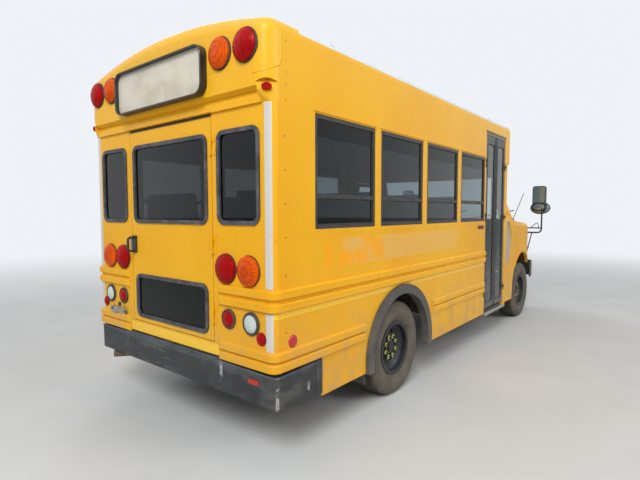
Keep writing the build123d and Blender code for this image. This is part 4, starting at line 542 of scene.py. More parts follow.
def make_ribbed_floor():
    m = Look("floor_rubber", (0.05, 0.05, 0.052))
    c = m.blend((0.045, 0.046, 0.05), (0.085, 0.082, 0.078), m.noise(4.0, 5.0, 0.6), 0.3, 0.7)
    c = m.blend(c, DUST, m.noise(11.0, 4.0, 0.7), 0.5, 0.75, 0.6)
    return m.done(c, 0.7, m.math("SINE", m.times(m.x, 900.0)), 0.3, 0.002)


paint = make_paint()
white = make_white()
cream = make_plain("inside_paint", (0.44, 0.42, 0.36), (0.36, 0.34, 0.29), 0.5, 6.0, grain=0.05)
frame_black = make_plain("frame_black", (0.012, 0.012, 0.013), (0.026, 0.026, 0.027), 0.38, 40.0, dust=0.12)
leaf_grey = make_plain("leaf_grey", (0.040, 0.047, 0.054), (0.062, 0.070, 0.080), 0.42, 20.0, dust=0.25)
soft_black = make_plain("soft_black", (0.016, 0.016, 0.018), (0.034, 0.034, 0.036), 0.62, 26.0, 0, 0.2, 0.3)
flare_rubber = make_plain("flare_rubber", (0.032, 0.034, 0.04), (0.06, 0.06, 0.064), 0.6, 9.0, 0, 0.15, 0.3)
seal = make_seal()
glass = make_glass("tinted_glass", (0.28, 0.33, 0.35), 0.12, band=True)
glass_rear = make_glass("rear_glass", (0.11, 0.112, 0.112), 0.08)
glass_clear = make_glass("clear_glass", (0.60, 0.67, 0.68), 0.1)
vision_glass = make_plain("vision_glass", (0.42, 0.43, 0.42), (0.30, 0.31, 0.31), 0.06, 3.0, grain=0.0)
chassis_black = make_rust("chassis_black", (0.035, 0.034, 0.034), 0.75)
pipe_rust = make_rust("pipe_rust", (0.16, 0.12, 0.09), 0.9)
axle_rust = make_rust("axle_rust", (0.06, 0.05, 0.045), 0.85)
engine_iron = make_rust("engine_iron", (0.09, 0.09, 0.09), 0.35)
tank_plastic = make_plain("tank_plastic", (0.025, 0.025, 0.026), (0.045, 0.043, 0.04), 0.55, 12.0, dust=0.6)
vinyl = make_vinyl()
dash_grey = make_plain("dash_plastic", (0.10, 0.098, 0.092), (0.14, 0.135, 0.125), 0.6, 90.0, grain=0.3)
lens_red = make_lens("lens_red", (0.46, 0.001, 0.002), (0.20, 0.001, 0.001))
lens_amber = make_lens("lens_amber", (0.84, 0.135, 0.001), (0.50, 0.045, 0.001))
lens_clear = make_lens("lens_clear", (0.62, 0.66, 0.64), (0.42, 0.46, 0.45))
reflector_red = make_tape("reflector_red", (0.48, 0.008, 0.012))
tape_white = make_tape("tape_white", (0.64, 0.60, 0.55))
tape_yellow = make_tape("tape_yellow", (0.97, 0.56, 0.004))
sign_face = make_sign()
stop_red = make_plain("stop_red", (0.45, 0.010, 0.012), (0.36, 0.009, 0.011), 0.35, 12.0, grain=0.05)
rear_steel = make_bumper("rear_bumper_paint", (0.017, 0.018, 0.020))
front_steel = make_bumper("front_bumper_paint", (0.018, 0.018, 0.019))
floor_rubber = make_ribbed_floor()
steel = make_plain("bare_steel", (0.50, 0.49, 0.47), (0.33, 0.32, 0.30), 0.35, 35.0, 0.9, 0.15, 0.25)
aluminium = make_plain("worn_aluminium", (0.55, 0.55, 0.54), (0.38, 0.37, 0.36), 0.42, 25.0, 0.8, 0.2, 0.5)
# The mirror glass's teal is a painted reflection of the surroundings, on partly metallic glass.
mirror_glass = make_plain("mirror_glass", (0.27, 0.38, 0.43), (0.20, 0.31, 0.36), 0.06, 5.0, 0.6, 0.0)
lug_green = make_plain("lug_green", (0.42, 0.50, 0.10), (0.30, 0.34, 0.12), 0.5, 60.0)
grille_black = make_plain("grille_black", (0.022, 0.022, 0.023), (0.04, 0.04, 0.04), 0.45, dust=0.25)
stain = make_plain("screw_dark", (0.09, 0.06, 0.035), (0.16, 0.10, 0.05), 0.55, 60.0, 0.3)
lamp_grey = make_plain("lamp_grey", (0.22, 0.22, 0.22), (0.30, 0.29, 0.28), 0.5, 40.0, dust=0.2)
chrome = make_plain("chrome", (0.72, 0.72, 0.72), (0.62, 0.62, 0.62), 0.12, 9.0, 1.0, 0.02)
yellow_head = make_plain("rivet_yellow", (0.70, 0.33, 0.02), (0.55, 0.26, 0.03), 0.45, 60.0)

# Tests on a face's centre p in mm, as (x, station, height), and its normal n


def turned_in(p, n):
    return n.x * p[0] < 0 and abs(n.x) > 0.5


def inside(p, n):
    return abs(p[0]) < HALF - 20 and turned_in(p, n)


def faces_down(p, n):
    return n.z < -0.3


def faces_cabin(p, n):
    return n.y < -0.5 and p[1] > 30


def at_rear(p, n):
    return p[1] < 60


def on_hinge(p, n):
    return p[0] < -HALF - 1 and 3330 < p[1] < 3400


def on_handle(p, n):
    return p[1] < -3 and 380 < p[0] < 500 and 1160 < p[2] < 1340


def in_low_pane(p, n):
    return p[1] > 4200 and p[2] < 1440


# Nodes, their material, and other materials by a test, of which the last that holds counts
COATS = (
    ("side_panel_left side_panel_right window_bands", paint, (cream, inside), (leaf_grey, on_hinge)),
    ("roof_sides", paint, (cream, inside), (cream, faces_down)),
    ("roof", white, (cream, faces_down)),
    ("rub_rails rear_cap front_cap", paint),
    ("rear_wall", paint, (cream, faces_cabin)),
    ("floor", floor_rubber),
    ("window_frames", frame_black, (seal, at_rear)),
    ("body_glass", glass, (glass_rear, at_rear), (vision_glass, in_low_pane)),
    ("arch_flares", flare_rubber),
    ("cab_shell", paint, (dash_grey, lambda p, n: turned_in(p, n) and p[1] > 3500)),
    ("windshield entrance_glass_rear entrance_glass_front driver_glass", glass_clear),
    ("fenders", paint, (soft_black, lambda p, n: faces_down(p, n) and p[2] > 1000)),
    ("grille", grille_black),
    ("front_bumper", front_steel),
    ("rear_bumper", rear_steel),
    ("chassis_frame front_suspension", chassis_black),
    ("rear_axle knuckle_left knuckle_right", axle_rust),
    ("engine_block", engine_iron),
    ("fuel_tank", tank_plastic),
    ("exhaust", pipe_rust),
    ("seats", vinyl),
    ("dash", dash_grey),
    ("lamps_red", lens_red),
    ("lamps_amber", lens_amber),
    ("lamps_clear", lens_clear),
    ("signs", sign_face),
    ("mirrors", frame_black),
    ("emergency_door", paint, (frame_black, on_handle), (cream, faces_cabin)),
    ("emergency_seals", seal),
    ("emergency_glass", glass_rear),
    ("entrance_leaf_rear entrance_leaf_front", leaf_grey),
    ("driver_door", paint, (dash_grey, inside)),
    ("hood", paint, (soft_black, faces_down)),
    ("stop_arm", stop_red),
    ("stop_bracket", soft_black),
)


def coat(name, *looks):
    """Gives a node its material, and its faces the other materials whose tests they meet."""
    mesh = nodes[name].data
    mesh.materials.clear()
    mesh.materials.append(looks[0])
    for other, test in looks[1:]:
        mesh.materials.append(other)
    for face in mesh.polygons:
        face.material_index = 0
        place = (face.center.x / MM, (REAR_Y - face.center.y) / MM, face.center.z / MM)
        for i, (other, test) in enumerate(looks[1:]):
            if test(place, face.normal):
                face.material_index = i + 1


def dress_nodes():
    for names, *looks in COATS:
        for name in names.split():
            coat(name, *looks)
    for side, sign in SIDES:
        for end, s, track in AXLES:
            coat(f"tyre_{end}_{side}", make_tyre(f"tyre_rubber_{end}_{side}", s))
            coat(f"rim_{end}_{side}", make_rim(f"rim_enamel_{end}_{side}"))


# Trim on the body


def on_side(sign, s0, s1, z0, z1, out=0):
    """Centre, normal, width and height of a rectangle on a side wall."""
    return at(sign * (HALF + out), (s0 + s1) / 2, (z0 + z1) / 2), (sign, 0, 0), s1 - s0, z1 - z0


def on_rear(x0, x1, z0, z1, out=0):
    return at((x0 + x1) / 2, -out, (z0 + z1) / 2), REARWARD, x1 - x0, z1 - z0


def row(start, end, pitch, normal):
    """Places from start to end, about pitch apart, that share a normal."""
    a = at(*start)
    b = at(*end)
    count = max(round((b - a).length / MM / pitch), 1)
    return [(a.lerp(b, i / count), normal) for i in range(count + 1)]


def rear_row(x, z0, z1, pitch):
    return row((x, 0, z0), (x, 0, z1), pitch, REARWARD)


def side_row(sign, start, end, pitch):
    """Places on a side wall from one (station, height) to another."""
    return row((sign * HALF, *start), (sign * HALF, *end), pitch, (sign, 0, 0))


def side_column(sign, s, heights):
    return [(at(sign * HALF, s, z), (sign, 0, 0)) for z in heights]


def roof_lap(name, s, half_width):
    """A seam over the white roof from edge to edge, sunk where the roof is highest."""
    h = 0.9
    centre_z = ROOF_Z - CROWN_R
    lean = asin(EDGE_X / (CROWN_R - EDGE_R))
    edge_z = centre_z + (CROWN_R - EDGE_R) * cos(lean)
    first = asin((2505 - edge_z) / EDGE_R)
    half = []
    for i in range(9):
        a = first + (pi / 2 - lean - first) * i / 8
        half.append((EDGE_X + EDGE_R * cos(a), edge_z + EDGE_R * sin(a), cos(a), sin(a)))
    for i in range(1, 29):
        a = lean * (1 - i / 28)
        half.append((CROWN_R * sin(a), centre_z + CROWN_R * cos(a), sin(a), cos(a)))
    rows = []
    for x, z, nx, nz in half + [(-x, z, -nx, nz) for x, z, nx, nz in reversed(half[:-1])]:
        n = Vector((nx, 0, nz))
        sunk = n * (min(h, max(ROOF_Z - z - 0.1, 0.05)) - h) * MM
        rows.append((at(x, s - half_width, z) + sunk, at(x, s + half_width, z) + sunk, n))
    strip(name, rows, h, white)


TAPE_X = 949
TAPES_Z = ((698, 914), (1055, 2088))
BAND_Z = (884, 931)
BANDS_S = {1: ((49, 1383), (1599, 3470)), -1: ((49, 1383), (1599, 3316))}
LAP_S = (44, 89)


def corner_plan(turn, steps):
    """Plan points and normals from the tape's edge out and round the rear left corner by turn degrees."""
    points = [(TAPE_X, 0, 0, 1)]
    for i in range(steps + 1):
        a = radians(turn) * i / steps
        points.append((HALF - CORNER_R + CORNER_R * sin(a), CORNER_R - CORNER_R * cos(a), sin(a), cos(a)))
    return points


def side_plan(s0, s1):
    return [(HALF, s0, 1, 0), (HALF, s1, 1, 0)]


def upright_strip(name, sign, plan, z0, z1, h, mat):
    """A strip over plan points (x, station, normal in x and to the rear), given for the left side."""
    rows = [(at(sign * x, s, z0), at(sign * x, s, z1), (sign * nx, ny, 0)) for x, s, nx, ny in plan]
    strip(name, rows, h, mat)


# Rear lamps: x, height, radius, how far the wall stands out, the ring's width, height and material, the
# lens where it has relief, and its spokes
LAMPS = (
    # The soft black rings of the lamps of radius 89 are painted shadow: they stand in for the thin shade round
    # those lenses.
    (612, 1146, 89, 0, 4, 9, soft_black, lens_red, 0),
    (815, 1146, 89, 0, 4, 9, soft_black, lens_amber, 18),
    (630, 840, 50, 0, 12, 15, lamp_grey, None, 0),
    (829, 839, 53, 0, 16, 15, soft_black, None, 0),
    (912, 763, 37, 0, 2, 5, soft_black, None, 0),
    (856, 2403, 89, CAP_PROUD, 7, 12, soft_black, lens_red, 0),
    (640, 2403, 89, CAP_PROUD, 7, 12, soft_black, lens_amber, 0),
)


def trim_lamps():
    rings = []
    reliefs = []
    for x, z, r, out, wide, high, mat, lens, spokes in LAMPS:
        a = r + 0.6
        b = r + wide
        profile = [(a, 0), (a, high * 0.8), (a + 1.2, high), (b - 1, high * 0.75), (b, high * 0.4), (b, 0)]
        for sign in (1, -1):
            centre = at(sign * x, -out, z)
            rings.append(turned("ring", profile, centre, REARWARD, mat))
            if lens:
                reliefs.append(lens_relief(centre, r, spokes, lens))
    joined("lamp_rings", rings)
    joined("lens_relief", reliefs)


def lens_point(centre, r, u, v):
    """A point on a domed lens, u across and v up from its middle."""
    rise = 0.32 * r
    ball = (r * r + rise * rise) / (2 * rise)
    height = 0.22 * r + rise - ball + sqrt(ball * ball - u * u - v * v)
    return centre + Vector((u, height - 0.6, v)) * MM


def lens_relief(centre, r, spokes, mat):
    """Moulded ribs on a domed lens: two rings, and spokes or else upright flutes."""
    lines = []
    for k in (0.34 * r, 0.68 * r):
        lines.append([(k * cos(pi * i / 16), k * sin(pi * i / 16)) for i in range(33)])
    for i in range(spokes):
        a = 2 * pi * i / spokes
        lines.append([(r * k / 10 * cos(a), r * k / 10 * sin(a)) for k in range(1, 10)])
    if not spokes:
        for u in range(-72, 73, 12):
            reach = sqrt(r * r * 0.94 - u * u)
            lines.append([(u, reach * k / 5) for k in range(-5, 6)])
    ribs = [rod("rib", [lens_point(centre, r, u, v) for u, v in line], 1.4, mat, steps=6) for line in lines]
    return joined("relief", ribs)


def trim_rear():
    for tag, sign in SIDES:
        for i, (z0, z1) in enumerate(TAPES_Z):
            upright_strip(f"tape_{tag}_{i}", sign, corner_plan(38, 8), z0, z1, 0.7, tape_white)
        bend = corner_plan(90, 12)[6:] + [(HALF, LAP_S[0], 1, 0)]
        upright_strip(f"band_bend_{tag}", sign, bend, *BAND_Z, 0.6, tape_yellow)
    panel("rear_band", *on_rear(-524, 524, 594, 658), 2, 0.7, tape_yellow)
    for tag, s, sign in (("rear", -45.5, 1), ("front", 4420.5, -1)):
        centre = at(0, s, 2338.5)
        panel(f"sign_frame_{tag}", centre, (0, sign, 0), 1022, 299, 66, 50, frame_black, rim=11, edge=3)
    heads = []
    for x in (541, -541):
        heads += rear_row(x, 1030, 2060, 128) + rear_row(x, 700, 900, 100)
    studs("rear_rivets", heads, 4.5, 1.8, yellow_head)


def trim_rear_door():
    """Drip rail over the door, its weather strip, in soft black as painted shadow under the drip, and the
    striker plate at the free edge.
    """
    body = "emergency_door"
    door = REAR_DOOR_HALF
    # Painted shadow: the soft black of this top weather strip stands in for the shade under the drip rail.
    panel("door_seal_shadow_top", *on_rear(-door + 4, door - 4, 2072, 2084), 1, 1.2, soft_black, body)
    panel("door_drip", *on_rear(-door - 24, door + 24, 2093, 2103, 16), 2, 9, paint)
    panel("door_striker", *on_rear(door + 9, door + 31, 1212, 1290), 3, 4, steel)
    heads = rear_row(-door + 26, 700, 2050, 193) + rear_row(door - 26, 1380, 2050, 168)
    studs("door_rivets", heads, 4.5, 1.8, yellow_head, body)


def trim_plate():
    """The number plate's holder, bent and dented, on two bolts, and its lamp."""
    width = 235
    height = 56
    x = 703
    z = 717
    side, up, n = facing(REARWARD)
    rings = []
    for i in range(25):
        u = i / 24
        front = []
        back = []
        for j in range(7):
            v = j / 6
            dent = 10 * sin(9.0 * u + 2.1 * v) * sin(5.3 * v + 4.0 * u + 0.6) + 6 * sin(23 * u - 7 * v)
            lift = 14 + dent + 12 * abs(sin(6.2 * u + 1.2)) * (v - 0.3)
            ragged = 4 * sin(17 * u) if j in (0, 6) else 0
            place = at(x, -3, z) + (side * (u - 0.5) * width + up * ((v - 0.5) * height + ragged)) * MM
            front.append(place + n * max(lift, 2) * MM)
            back.append(place + n * max(lift - 1.6, 0.4) * MM)
        rings.append(front + back[::-1])
    loft("plate_bracket", rings, steel, ends="flat")
    bolts = [(at(x + k * 0.42 * width, 0, z), REARWARD) for k in (-1, 1)]
    studs("plate_bracket_bolts", bolts, 8, 30, stain)
    turned("plate_lamp", [(0, 12), (12, 11), (16, 6), (16, 0)], at(x, -1, 765), REARWARD, soft_black)


def cap_bead():
    """The line of the moulded bead on the left: down the side, then round the corner and in."""
    bead = [(HALF - 3, 67, z) for z in range(2470, 2310, -20)]
    for i in range(1, 13):
        a = radians(90 * i / 12)
        x = HALF - 3 - CAP_CORNER_R + CAP_CORNER_R * cos(a)
        s = 70 - 12 * min(i / 3, 1) - CAP_CORNER_R * sin(a)
        bead.append((x, s, 2310 - 66 * sin(a) ** 0.6))
    return bead


def brow_lining(tag, sign):
    """A plate behind the corner lamp's pocket, which closes the moulding where it is thin."""
    out = Vector((sign, 1, 0)).normalized()
    short = CAP_CORNER_R * (1 - cos(pi / 4))
    centre = at(sign * (HALF - short), short - CAP_PROUD, 2187) - out * 23.5 * MM
    panel(f"brow_lining_{tag}", centre, (out.x, out.y, 0.4), 88, 58, 6, 2, paint)


def trim_cap():
    """The moulded bead, the rivets along the flange, the corner lamps' seats, the roof's laps and vent."""
    for tag, sign in SIDES:
        rod(f"cap_bead_{tag}", [at(sign * x, s, z) for x, s, z in cap_bead()], 7, paint, steps=8)
        brow_lining(tag, sign)
        flange = side_column(sign, 103, (2435, 2330, 2265, 2196, 2114))
        studs(f"cap_rivets_{tag}", flange, 7, 2.8, yellow_head)
        posts = side_column(sign, 92, (1911, 1723, 1533, 1342, 1128, 1046, 800))
        studs(f"post_rivets_{tag}", posts, 6, 2.2, stain)
        upright_strip(f"belt_lap_{tag}", sign, side_plan(90, 3360), 1345, 1378, 1.3, paint)
        studs(f"belt_rivets_{tag}", side_row(sign, (21, 1330), (3353, 1330), 98), 4.2, 1.8, yellow_head)
    dome = [(0, 21), (16, 20), (30, 16), (40, 8), (44, 0), (50, -1)]
    turned("roof_vent", dome, at(-925, 590, 2559.5), (-925, 0, 3881), white)
    for i, s in enumerate((*PILLARS_S, 3367)):
        roof_lap(f"roof_lap_{i}", s, 19)
    roof_lap("roof_lap_rear", 150, 16)
    roof_lap("roof_lap_front", 4020, 16)


# Heights of the rub rails' flanges, and the stretches between rivets on them
RAIL_RIVETS = (
    (1020, ((60, 3340),)),
    (947, ((60, 3340),)),
    (667, ((60, 900), (2030, 3320))),
    (603, ((60, 900), (2030, 3320))),
)


def trim_window(tag, sign, i, s):
    """Gaskets round both sashes, two latches and a drip moulding."""
    for k, (z0, z1) in enumerate(((1408, 1574), (1596, 2058))):
        panel(f"gasket_{tag}_{i}_{k}", *on_side(sign, s + 26, s + 658, z0, z1, -16), 4, 4, soft_black, rim=6)
    for k in (150, 534):
        place = on_side(sign, s + k - 20, s + k + 20, 1577, 1593, -4)
        panel(f"latch_{tag}_{i}_{k}", *place, 3, 5, frame_black, edge=1.5)
    panel(f"drip_{tag}_{i}", *on_side(sign, s - 12, s + 696, 2094, 2101), 1, 7, paint)


def trim_side():
    for tag, sign in SIDES:
        for i, (s0, s1) in enumerate(BANDS_S[sign]):
            panel(f"band_{tag}_{i}", *on_side(sign, s0, s1, *BAND_Z), 1, 0.7, tape_yellow)
        upright_strip(f"band_lap_{tag}", sign, side_plan(*LAP_S), *BAND_Z, 2.1, tape_yellow)
        lens = [(0, 7.5), (19, 7), (32, 5.5), (37.5, 2), (37.5, 0)]
        turned(f"side_reflector_{tag}", lens, at(sign * HALF, 150, 737), (sign, 0, 0), reflector_red)
        upright_strip(f"corner_lap_{tag}", sign, side_plan(*LAP_S), 700, 2089, 1.4, paint)
        for i, s in enumerate(WINDOWS_S):
            trim_window(tag, sign, i, s)
        heads = []
        for s in PILLARS_S:
            for d in (-26, 26):
                heads += side_row(sign, (s + d, 1392), (s + d, 2074), 136)
        studs(f"pillar_rivets_{tag}", heads, 4.2, 1.6, yellow_head)
        for z, stretches in RAIL_RIVETS:
            heads = []
            for s0, s1 in stretches:
                heads += side_row(sign, (s0, z - 27), (s1, z - 27), 180)
                heads += side_row(sign, (s0, z + 27), (s1, z + 27), 180)
            studs(f"rail_rivets_{tag}_{z}", heads, 3.5, 4.5, yellow_head)
    panel("vent_plate", *on_side(-1, 3140, 3308, 1296, 1334), 3, 3, soft_black)
    for i in range(3):
        z = 1303 + i * 10
        panel(f"vent_slot_{i}", *on_side(-1, 3152, 3296, z, z + 4, 3), 1, 2.5, stain)
    panel("step_lip", *on_side(-1, 3414, 4140, 286, 324, -40), 2, 38, aluminium, edge=2)
    panel("filler_door", *on_side(1, 2520, 2700, 410, 560), 14, 3, paint, edge=1.5)
    studs("filler_hinge", side_column(1, 2532, (445, 525)), 7, 8, steel)


# Entrance leaves: name, rear and front edge, and the edge that carries the rubber nose, offset inward
LEAVES = (("rear", 3370, 3700.5, 3687.5), ("front", 3706.5, 4037, 3719.5))


def trim_entrance():
    out = (-1, 0, 0)
    x = -(HALF - 6)
    for name, s0, s1, nose in LEAVES:
        body = f"entrance_{name}"
        centre = at(x, (s0 + s1) / 2, 1346.5)
        wide = s1 - s0 - 98
        panel(f"leaf_gasket_{name}", centre, out, wide, 1821, 22, 2.5, soft_black, body, rim=7, edge=1)
        panel(f"leaf_nose_{name}", at(x, nose, 1361), out, 24, 1960, 6, 5, soft_black, body, edge=2)
        heads = []
        for z in (388, 2330):
            heads += row((x, s0 + 30, z), (x, s1 - 30, z), 90, out)
        studs(f"leaf_screws_{name}", heads, 4, 2, steel, body)
    panel("door_header", *on_side(-1, 3360, 4048, 2362, 2392), 3, 4, leaf_grey, edge=1)


def trim_driver_door():
    body = "driver_door"
    x = CAB_HALF + 1
    panel("door_handle_plate", at(x - 1, 3668, 1262), (1, 0, 0), 150, 44, 12, 5, soft_black, body, edge=2)
    grip = [at(x + out, 3668 + d, 1262) for out, d in ((0, -64), (22, -50), (27, 0), (22, 50), (0, 64))]
    rod("door_handle_grip", grip, 8, soft_black, body)
    turned("door_lock", [(0, 6), (9, 5), (11, 0)], at(x + 3, 3762, 1240), (1, 0, 0), steel, body)


def trim_bumpers():
    """The rear bumper's rolled lip, end straps and one reflector on its right facet."""
    lip = [(HALF + 2, 416, 561), (HALF + 2, 215, 554), (HALF + 2, 16, 547), (HALF - 1, 11, 547)]
    lip += [(568, -15, 563.5), (560, -16, 563.5)]
    lip += [(-x, s, z) for x, s, z in reversed(lip)]
    rod("bumper_lip", [at(*p) for p in lip], 6.5, rear_steel, steps=8)
    rod("bumper_lip_middle", [at(x, -15.5, 574) for x in (-512, -170, 170, 512)], 5.5, rear_steel, steps=8)
    for tag, sign in SIDES:
        out = (sign, 0, 0)
        x = sign * (HALF + 5)
        panel(f"bumper_strap_{tag}", at(x, 382, 450), out, 66, 206, 4, 4, rear_steel, edge=1.5)
        panel(f"bumper_seam_{tag}", at(x, 344, 450), out, 5, 200, 1, 0.8, soft_black)
    panel("bumper_reflector", at(-840, 1.4, 496), (-32, 456, 0), 79, 29, 3, 5, reflector_red, edge=1.5)


# Wheels. The tyre's section is its tread's width in zones, a shoulder, and two arcs of the sidewall
SHOULDER_R = 45.33
SHOULDER_OUT = 68.5
WALL_R = 292.5
WALL_OUT = 122.5
UPPER_R = 160.2
LOWER_R = 106.6
GROOVES = {2: 8.5, 3: 3.0, 4: 4.0, 5: 6.5}


def arc(r0, out0, r, a0, a1, steps):
    """Points (radius, offset) round a centre, from angle a0 to a1 in degrees, the first left out."""
    turns = [radians(a0 + (a1 - a0) * i / steps) for i in range(1, steps + 1)]
    return [(r0 + r * cos(a), out0 + r * sin(a)) for a in turns]


def tyre_profile():
    """The tyre's section from bead to bead, as (radius, offset, tread zone)."""
    bands = ((0, 3), (9, 3), (11, 2), (18, 2), (20, 4), (41, 4), (43, 2), (50, 2), (52, 5), (SHOULDER_OUT, 5))
    half = [(TYRE_R, out, zone) for out, zone in bands]
    shoulder = arc(TYRE_R - SHOULDER_R, SHOULDER_OUT, SHOULDER_R, 0, degrees(asin(40 / SHOULDER_R)), 5)
    half += [(r, out, 5) for r, out in shoulder[:4]]
    wall = shoulder[4:]
    wall += arc(WALL_R, WALL_OUT - UPPER_R, UPPER_R, 90 - degrees(asin(65.5 / UPPER_R)), 90, 6)
    wall += arc(WALL_R, WALL_OUT - LOWER_R, LOWER_R, 90, 90 + degrees(asin(65.5 / LOWER_R)), 6)
    half += [(r, out, 0) for r, out in wall + [(213, 95), (203.5, 91.5)]]
    return [(r, -out, zone) for r, out, zone in reversed(half[1:])] + half


def tread_depth(zone, i, side):
    """How deep the tread lies under its surface at step i."""
    cut = {2: True, 3: i % 12 == 6, 4: (i + 2 + 3 * side) % 12 == 0, 5: (i + 3 * side) % 6 == 0}
    return GROOVES[zone] if cut.get(zone) else 0


def make_tyre_mesh(end, tag, x, s):
    profile = tyre_profile()
    steps = 384
    rings = []
    for i in range(steps):
        a = 2 * pi * i / steps
        ring = []
        for r, offset, zone in profile:
            r -= tread_depth(zone, i, 0 if offset > 0 else 1)
            ring.append(at(x + offset, s + r * cos(a), TYRE_R + r * sin(a)))
        rings.append(ring)
    mat = nodes[f"tyre_{end}_{tag}"].data.materials[0]
    obj = loft(f"tread_{end}_{tag}", rings, mat, f"wheel_{end}_{tag}", "joined")
    obj.data.set_sharp_from_angle(angle=radians(32))
    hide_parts(f"tyre_{end}_{tag}")


def lug_mark(angle, sign):
    """Outline of a round wheel-nut marker with a pointed tip at angle."""
    outline = []
    for k in range(14):
        b = 2 * pi * k / 14
        near = abs((b - angle + pi) % (2 * pi) - pi) < 0.3
        reach = 26 if near else 16.5
        outline.append((reach * cos(b) * sign, reach * sin(b)))
    return outline


def wheel_trim(end, tag, x, s, sign):
    """Lug indicators, valve, hub cap ring and brake drum of one wheel."""
    body = f"wheel_{end}_{tag}"
    hub = at(x, s, TYRE_R)
    out = (sign, 0, 0)

    def spoke(a, r, offset):
        return hub + Vector((sign * offset, r * cos(a), r * sin(a))) * MM

    marks = []
    tips = []
    for a in (2 * pi * (i + 0.5) / 8 for i in range(8)):
        outline = lug_mark(a + 0.5, sign)
        marks.append(slab("mark", outline, spoke(a, 82.5, 57.5), out, 6, lug_green, body, 1.5))
        tips.append((spoke(a, 82.5, 60), out))
    joined(f"lug_marks_{end}_{tag}", marks)
    studs(f"lug_tips_{end}_{tag}", tips, 8.5, 12, stain, body)
    turned(f"hub_ring_{end}_{tag}", [(41, 49), (47, 53), (52, 53), (57.5, 49)], hub, out, stain, body)
    drum = [(60, -20), (160, -20), (168, -12), (170, 4), (160, 8), (60, 10)]
    turned(f"brake_drum_{end}_{tag}", drum, hub, out, axle_rust, body)
    stem = [spoke(0.9, r, offset) for r, offset in ((176, 36), (176, 58), (166, 70))]
    rod(f"valve_{end}_{tag}", stem, 4, soft_black, body, steps=8)


def make_wheels():
    for end, s, track in AXLES:
        for tag, sign in SIDES:
            make_tyre_mesh(end, tag, sign * track / 2, s)
            wheel_trim(end, tag, sign * track / 2, s, sign)


# Cab and nose


SCREEN_NORMAL = Vector((0, -0.815, 0.580))
MIRROR_X = HALF + 62
MIRROR_S = 5459
HEADLAMP_X = 562.5


def on_screen(x, z, out):
    """A point over the windshield, out off its surface."""
    return at(x, 4770 - (z - 1361) * 520 / 730, z) + SCREEN_NORMAL * out * MM


def trim_mirror(tag, sign):
    x = sign * MIRROR_X
    panel(f"mirror_flat_{tag}", at(x, MIRROR_S, 1735), REARWARD, 158, 234, 22, 2.5, mirror_glass, edge=1)
    convex = at(x, MIRROR_S, 1556)
    panel(f"mirror_convex_rim_{tag}", convex, REARWARD, 160, 96, 20, 3, soft_black, rim=5, edge=1)
    dished(f"mirror_convex_{tag}", convex, REARWARD, 74, 42, 5, mirror_glass)
    dished(f"cross_view_{tag}", at(x, 5556, 1540), REARWARD, 129, 83, 9, mirror_glass)
    studs(f"mirror_bolts_{tag}", [(at(x, 5541, z), FORWARD) for z in (1600, 1760)], 10, 6, steel)


def trim_wiper(tag, x):
    bends = ((0, 1385, 4), (0, 1385, 14), (235, 1427.5, 26), (470, 1470, 20))
    arm = [on_screen(x - u, z, lift) for u, z, lift in bends]
    rod(f"wiper_arm_{tag}", arm, 6, soft_black)
    blade = [on_screen(x - 620, 1500, 6), on_screen(x - 435, 1460, 9), on_screen(x - 250, 1420, 6)]
    rod(f"wiper_blade_{tag}", blade, 7, soft_black)
    hub = [(0, 22), (14, 20), (20, 12), (22, -12)]
    turned(f"wiper_hub_{tag}", hub, on_screen(x, 1385, 2), SCREEN_NORMAL, soft_black)


def trim_cab():
    for tag, sign in SIDES:
        trim_mirror(tag, sign)
        for k in (-36, 36):
            bowl = [(6, 0), (12, 2), (24, 8), (32, 18)]
            where = at(sign * (HEADLAMP_X + k), 5728, 967)
            turned(f"headlamp_bowl_{tag}_{k + 36}", bowl, where, FORWARD, chrome)
        trim_wiper(tag, sign * 330)
        for z in (835, 1020):
            studs(f"lamp_screw_{z}_{sign + 1}", [(at(sign * 470, 5781, z), FORWARD)], 6, 3, steel)
        crease = [at(sign * 430, 4900, 1361.5), at(sign * 410, 5290, 1319), at(sign * 380, 5600, 1241)]
        rod(f"hood_crease_{sign + 1}", crease, 6, paint)
    base = [(0, 45), (6, 40), (14, 14), (20, 0)]
    turned("antenna_base", base, at(-925, 4728, 1362), UPWARD, soft_black)
    mast = [at(-925, 4728, 1382), at(-925, 4800, 1430), at(-925, 5219, 1746)]
    rod("antenna", mast, 4.8, soft_black, steps=8)
    panel("grille_mesh", at(0, 5752, 925), FORWARD, 820, 210, 10, 2, soft_black)


# Seats: upholstery is grown from plain pads by cloth under pressure, then copied

PAD_GROWTH = 0.012
PAD_FRAMES = 20
BENCH_WIDTH = 0.722
DRIVER_WIDTH = 0.440
BENCH_X = 592
BENCH_BACK = 28


def pad_mesh(name, corners, width):
    """A closed pad with bevelled edges: an outline in (station, z) from its own origin, width in metres."""
    bm = bmesh.new()
    a, b = ([bm.verts.new((x, -s * MM, z * MM)) for s, z in corners] for x in (-width / 2, width / 2))
    bm.faces.new(a)
    bm.faces.new(list(reversed(b)))
    for i in range(len(corners)):
        bm.faces.new((a[i - 1], b[i - 1], b[i], a[i]))
    bmesh.ops.recalc_face_normals(bm, faces=bm.faces)
    bmesh.ops.bevel(bm, geom=bm.edges[:], offset=0.022, segments=3, affect="EDGES")
    mesh = bpy.data.meshes.new(name)
    bm.to_mesh(mesh)
    bm.free()
    return mesh


def apply_modifiers(obj):
    graph = bpy.context.evaluated_depsgraph_get()
    mesh = bpy.data.meshes.new_from_object(obj.evaluated_get(graph))
    obj.modifiers.clear()
    obj.data = mesh


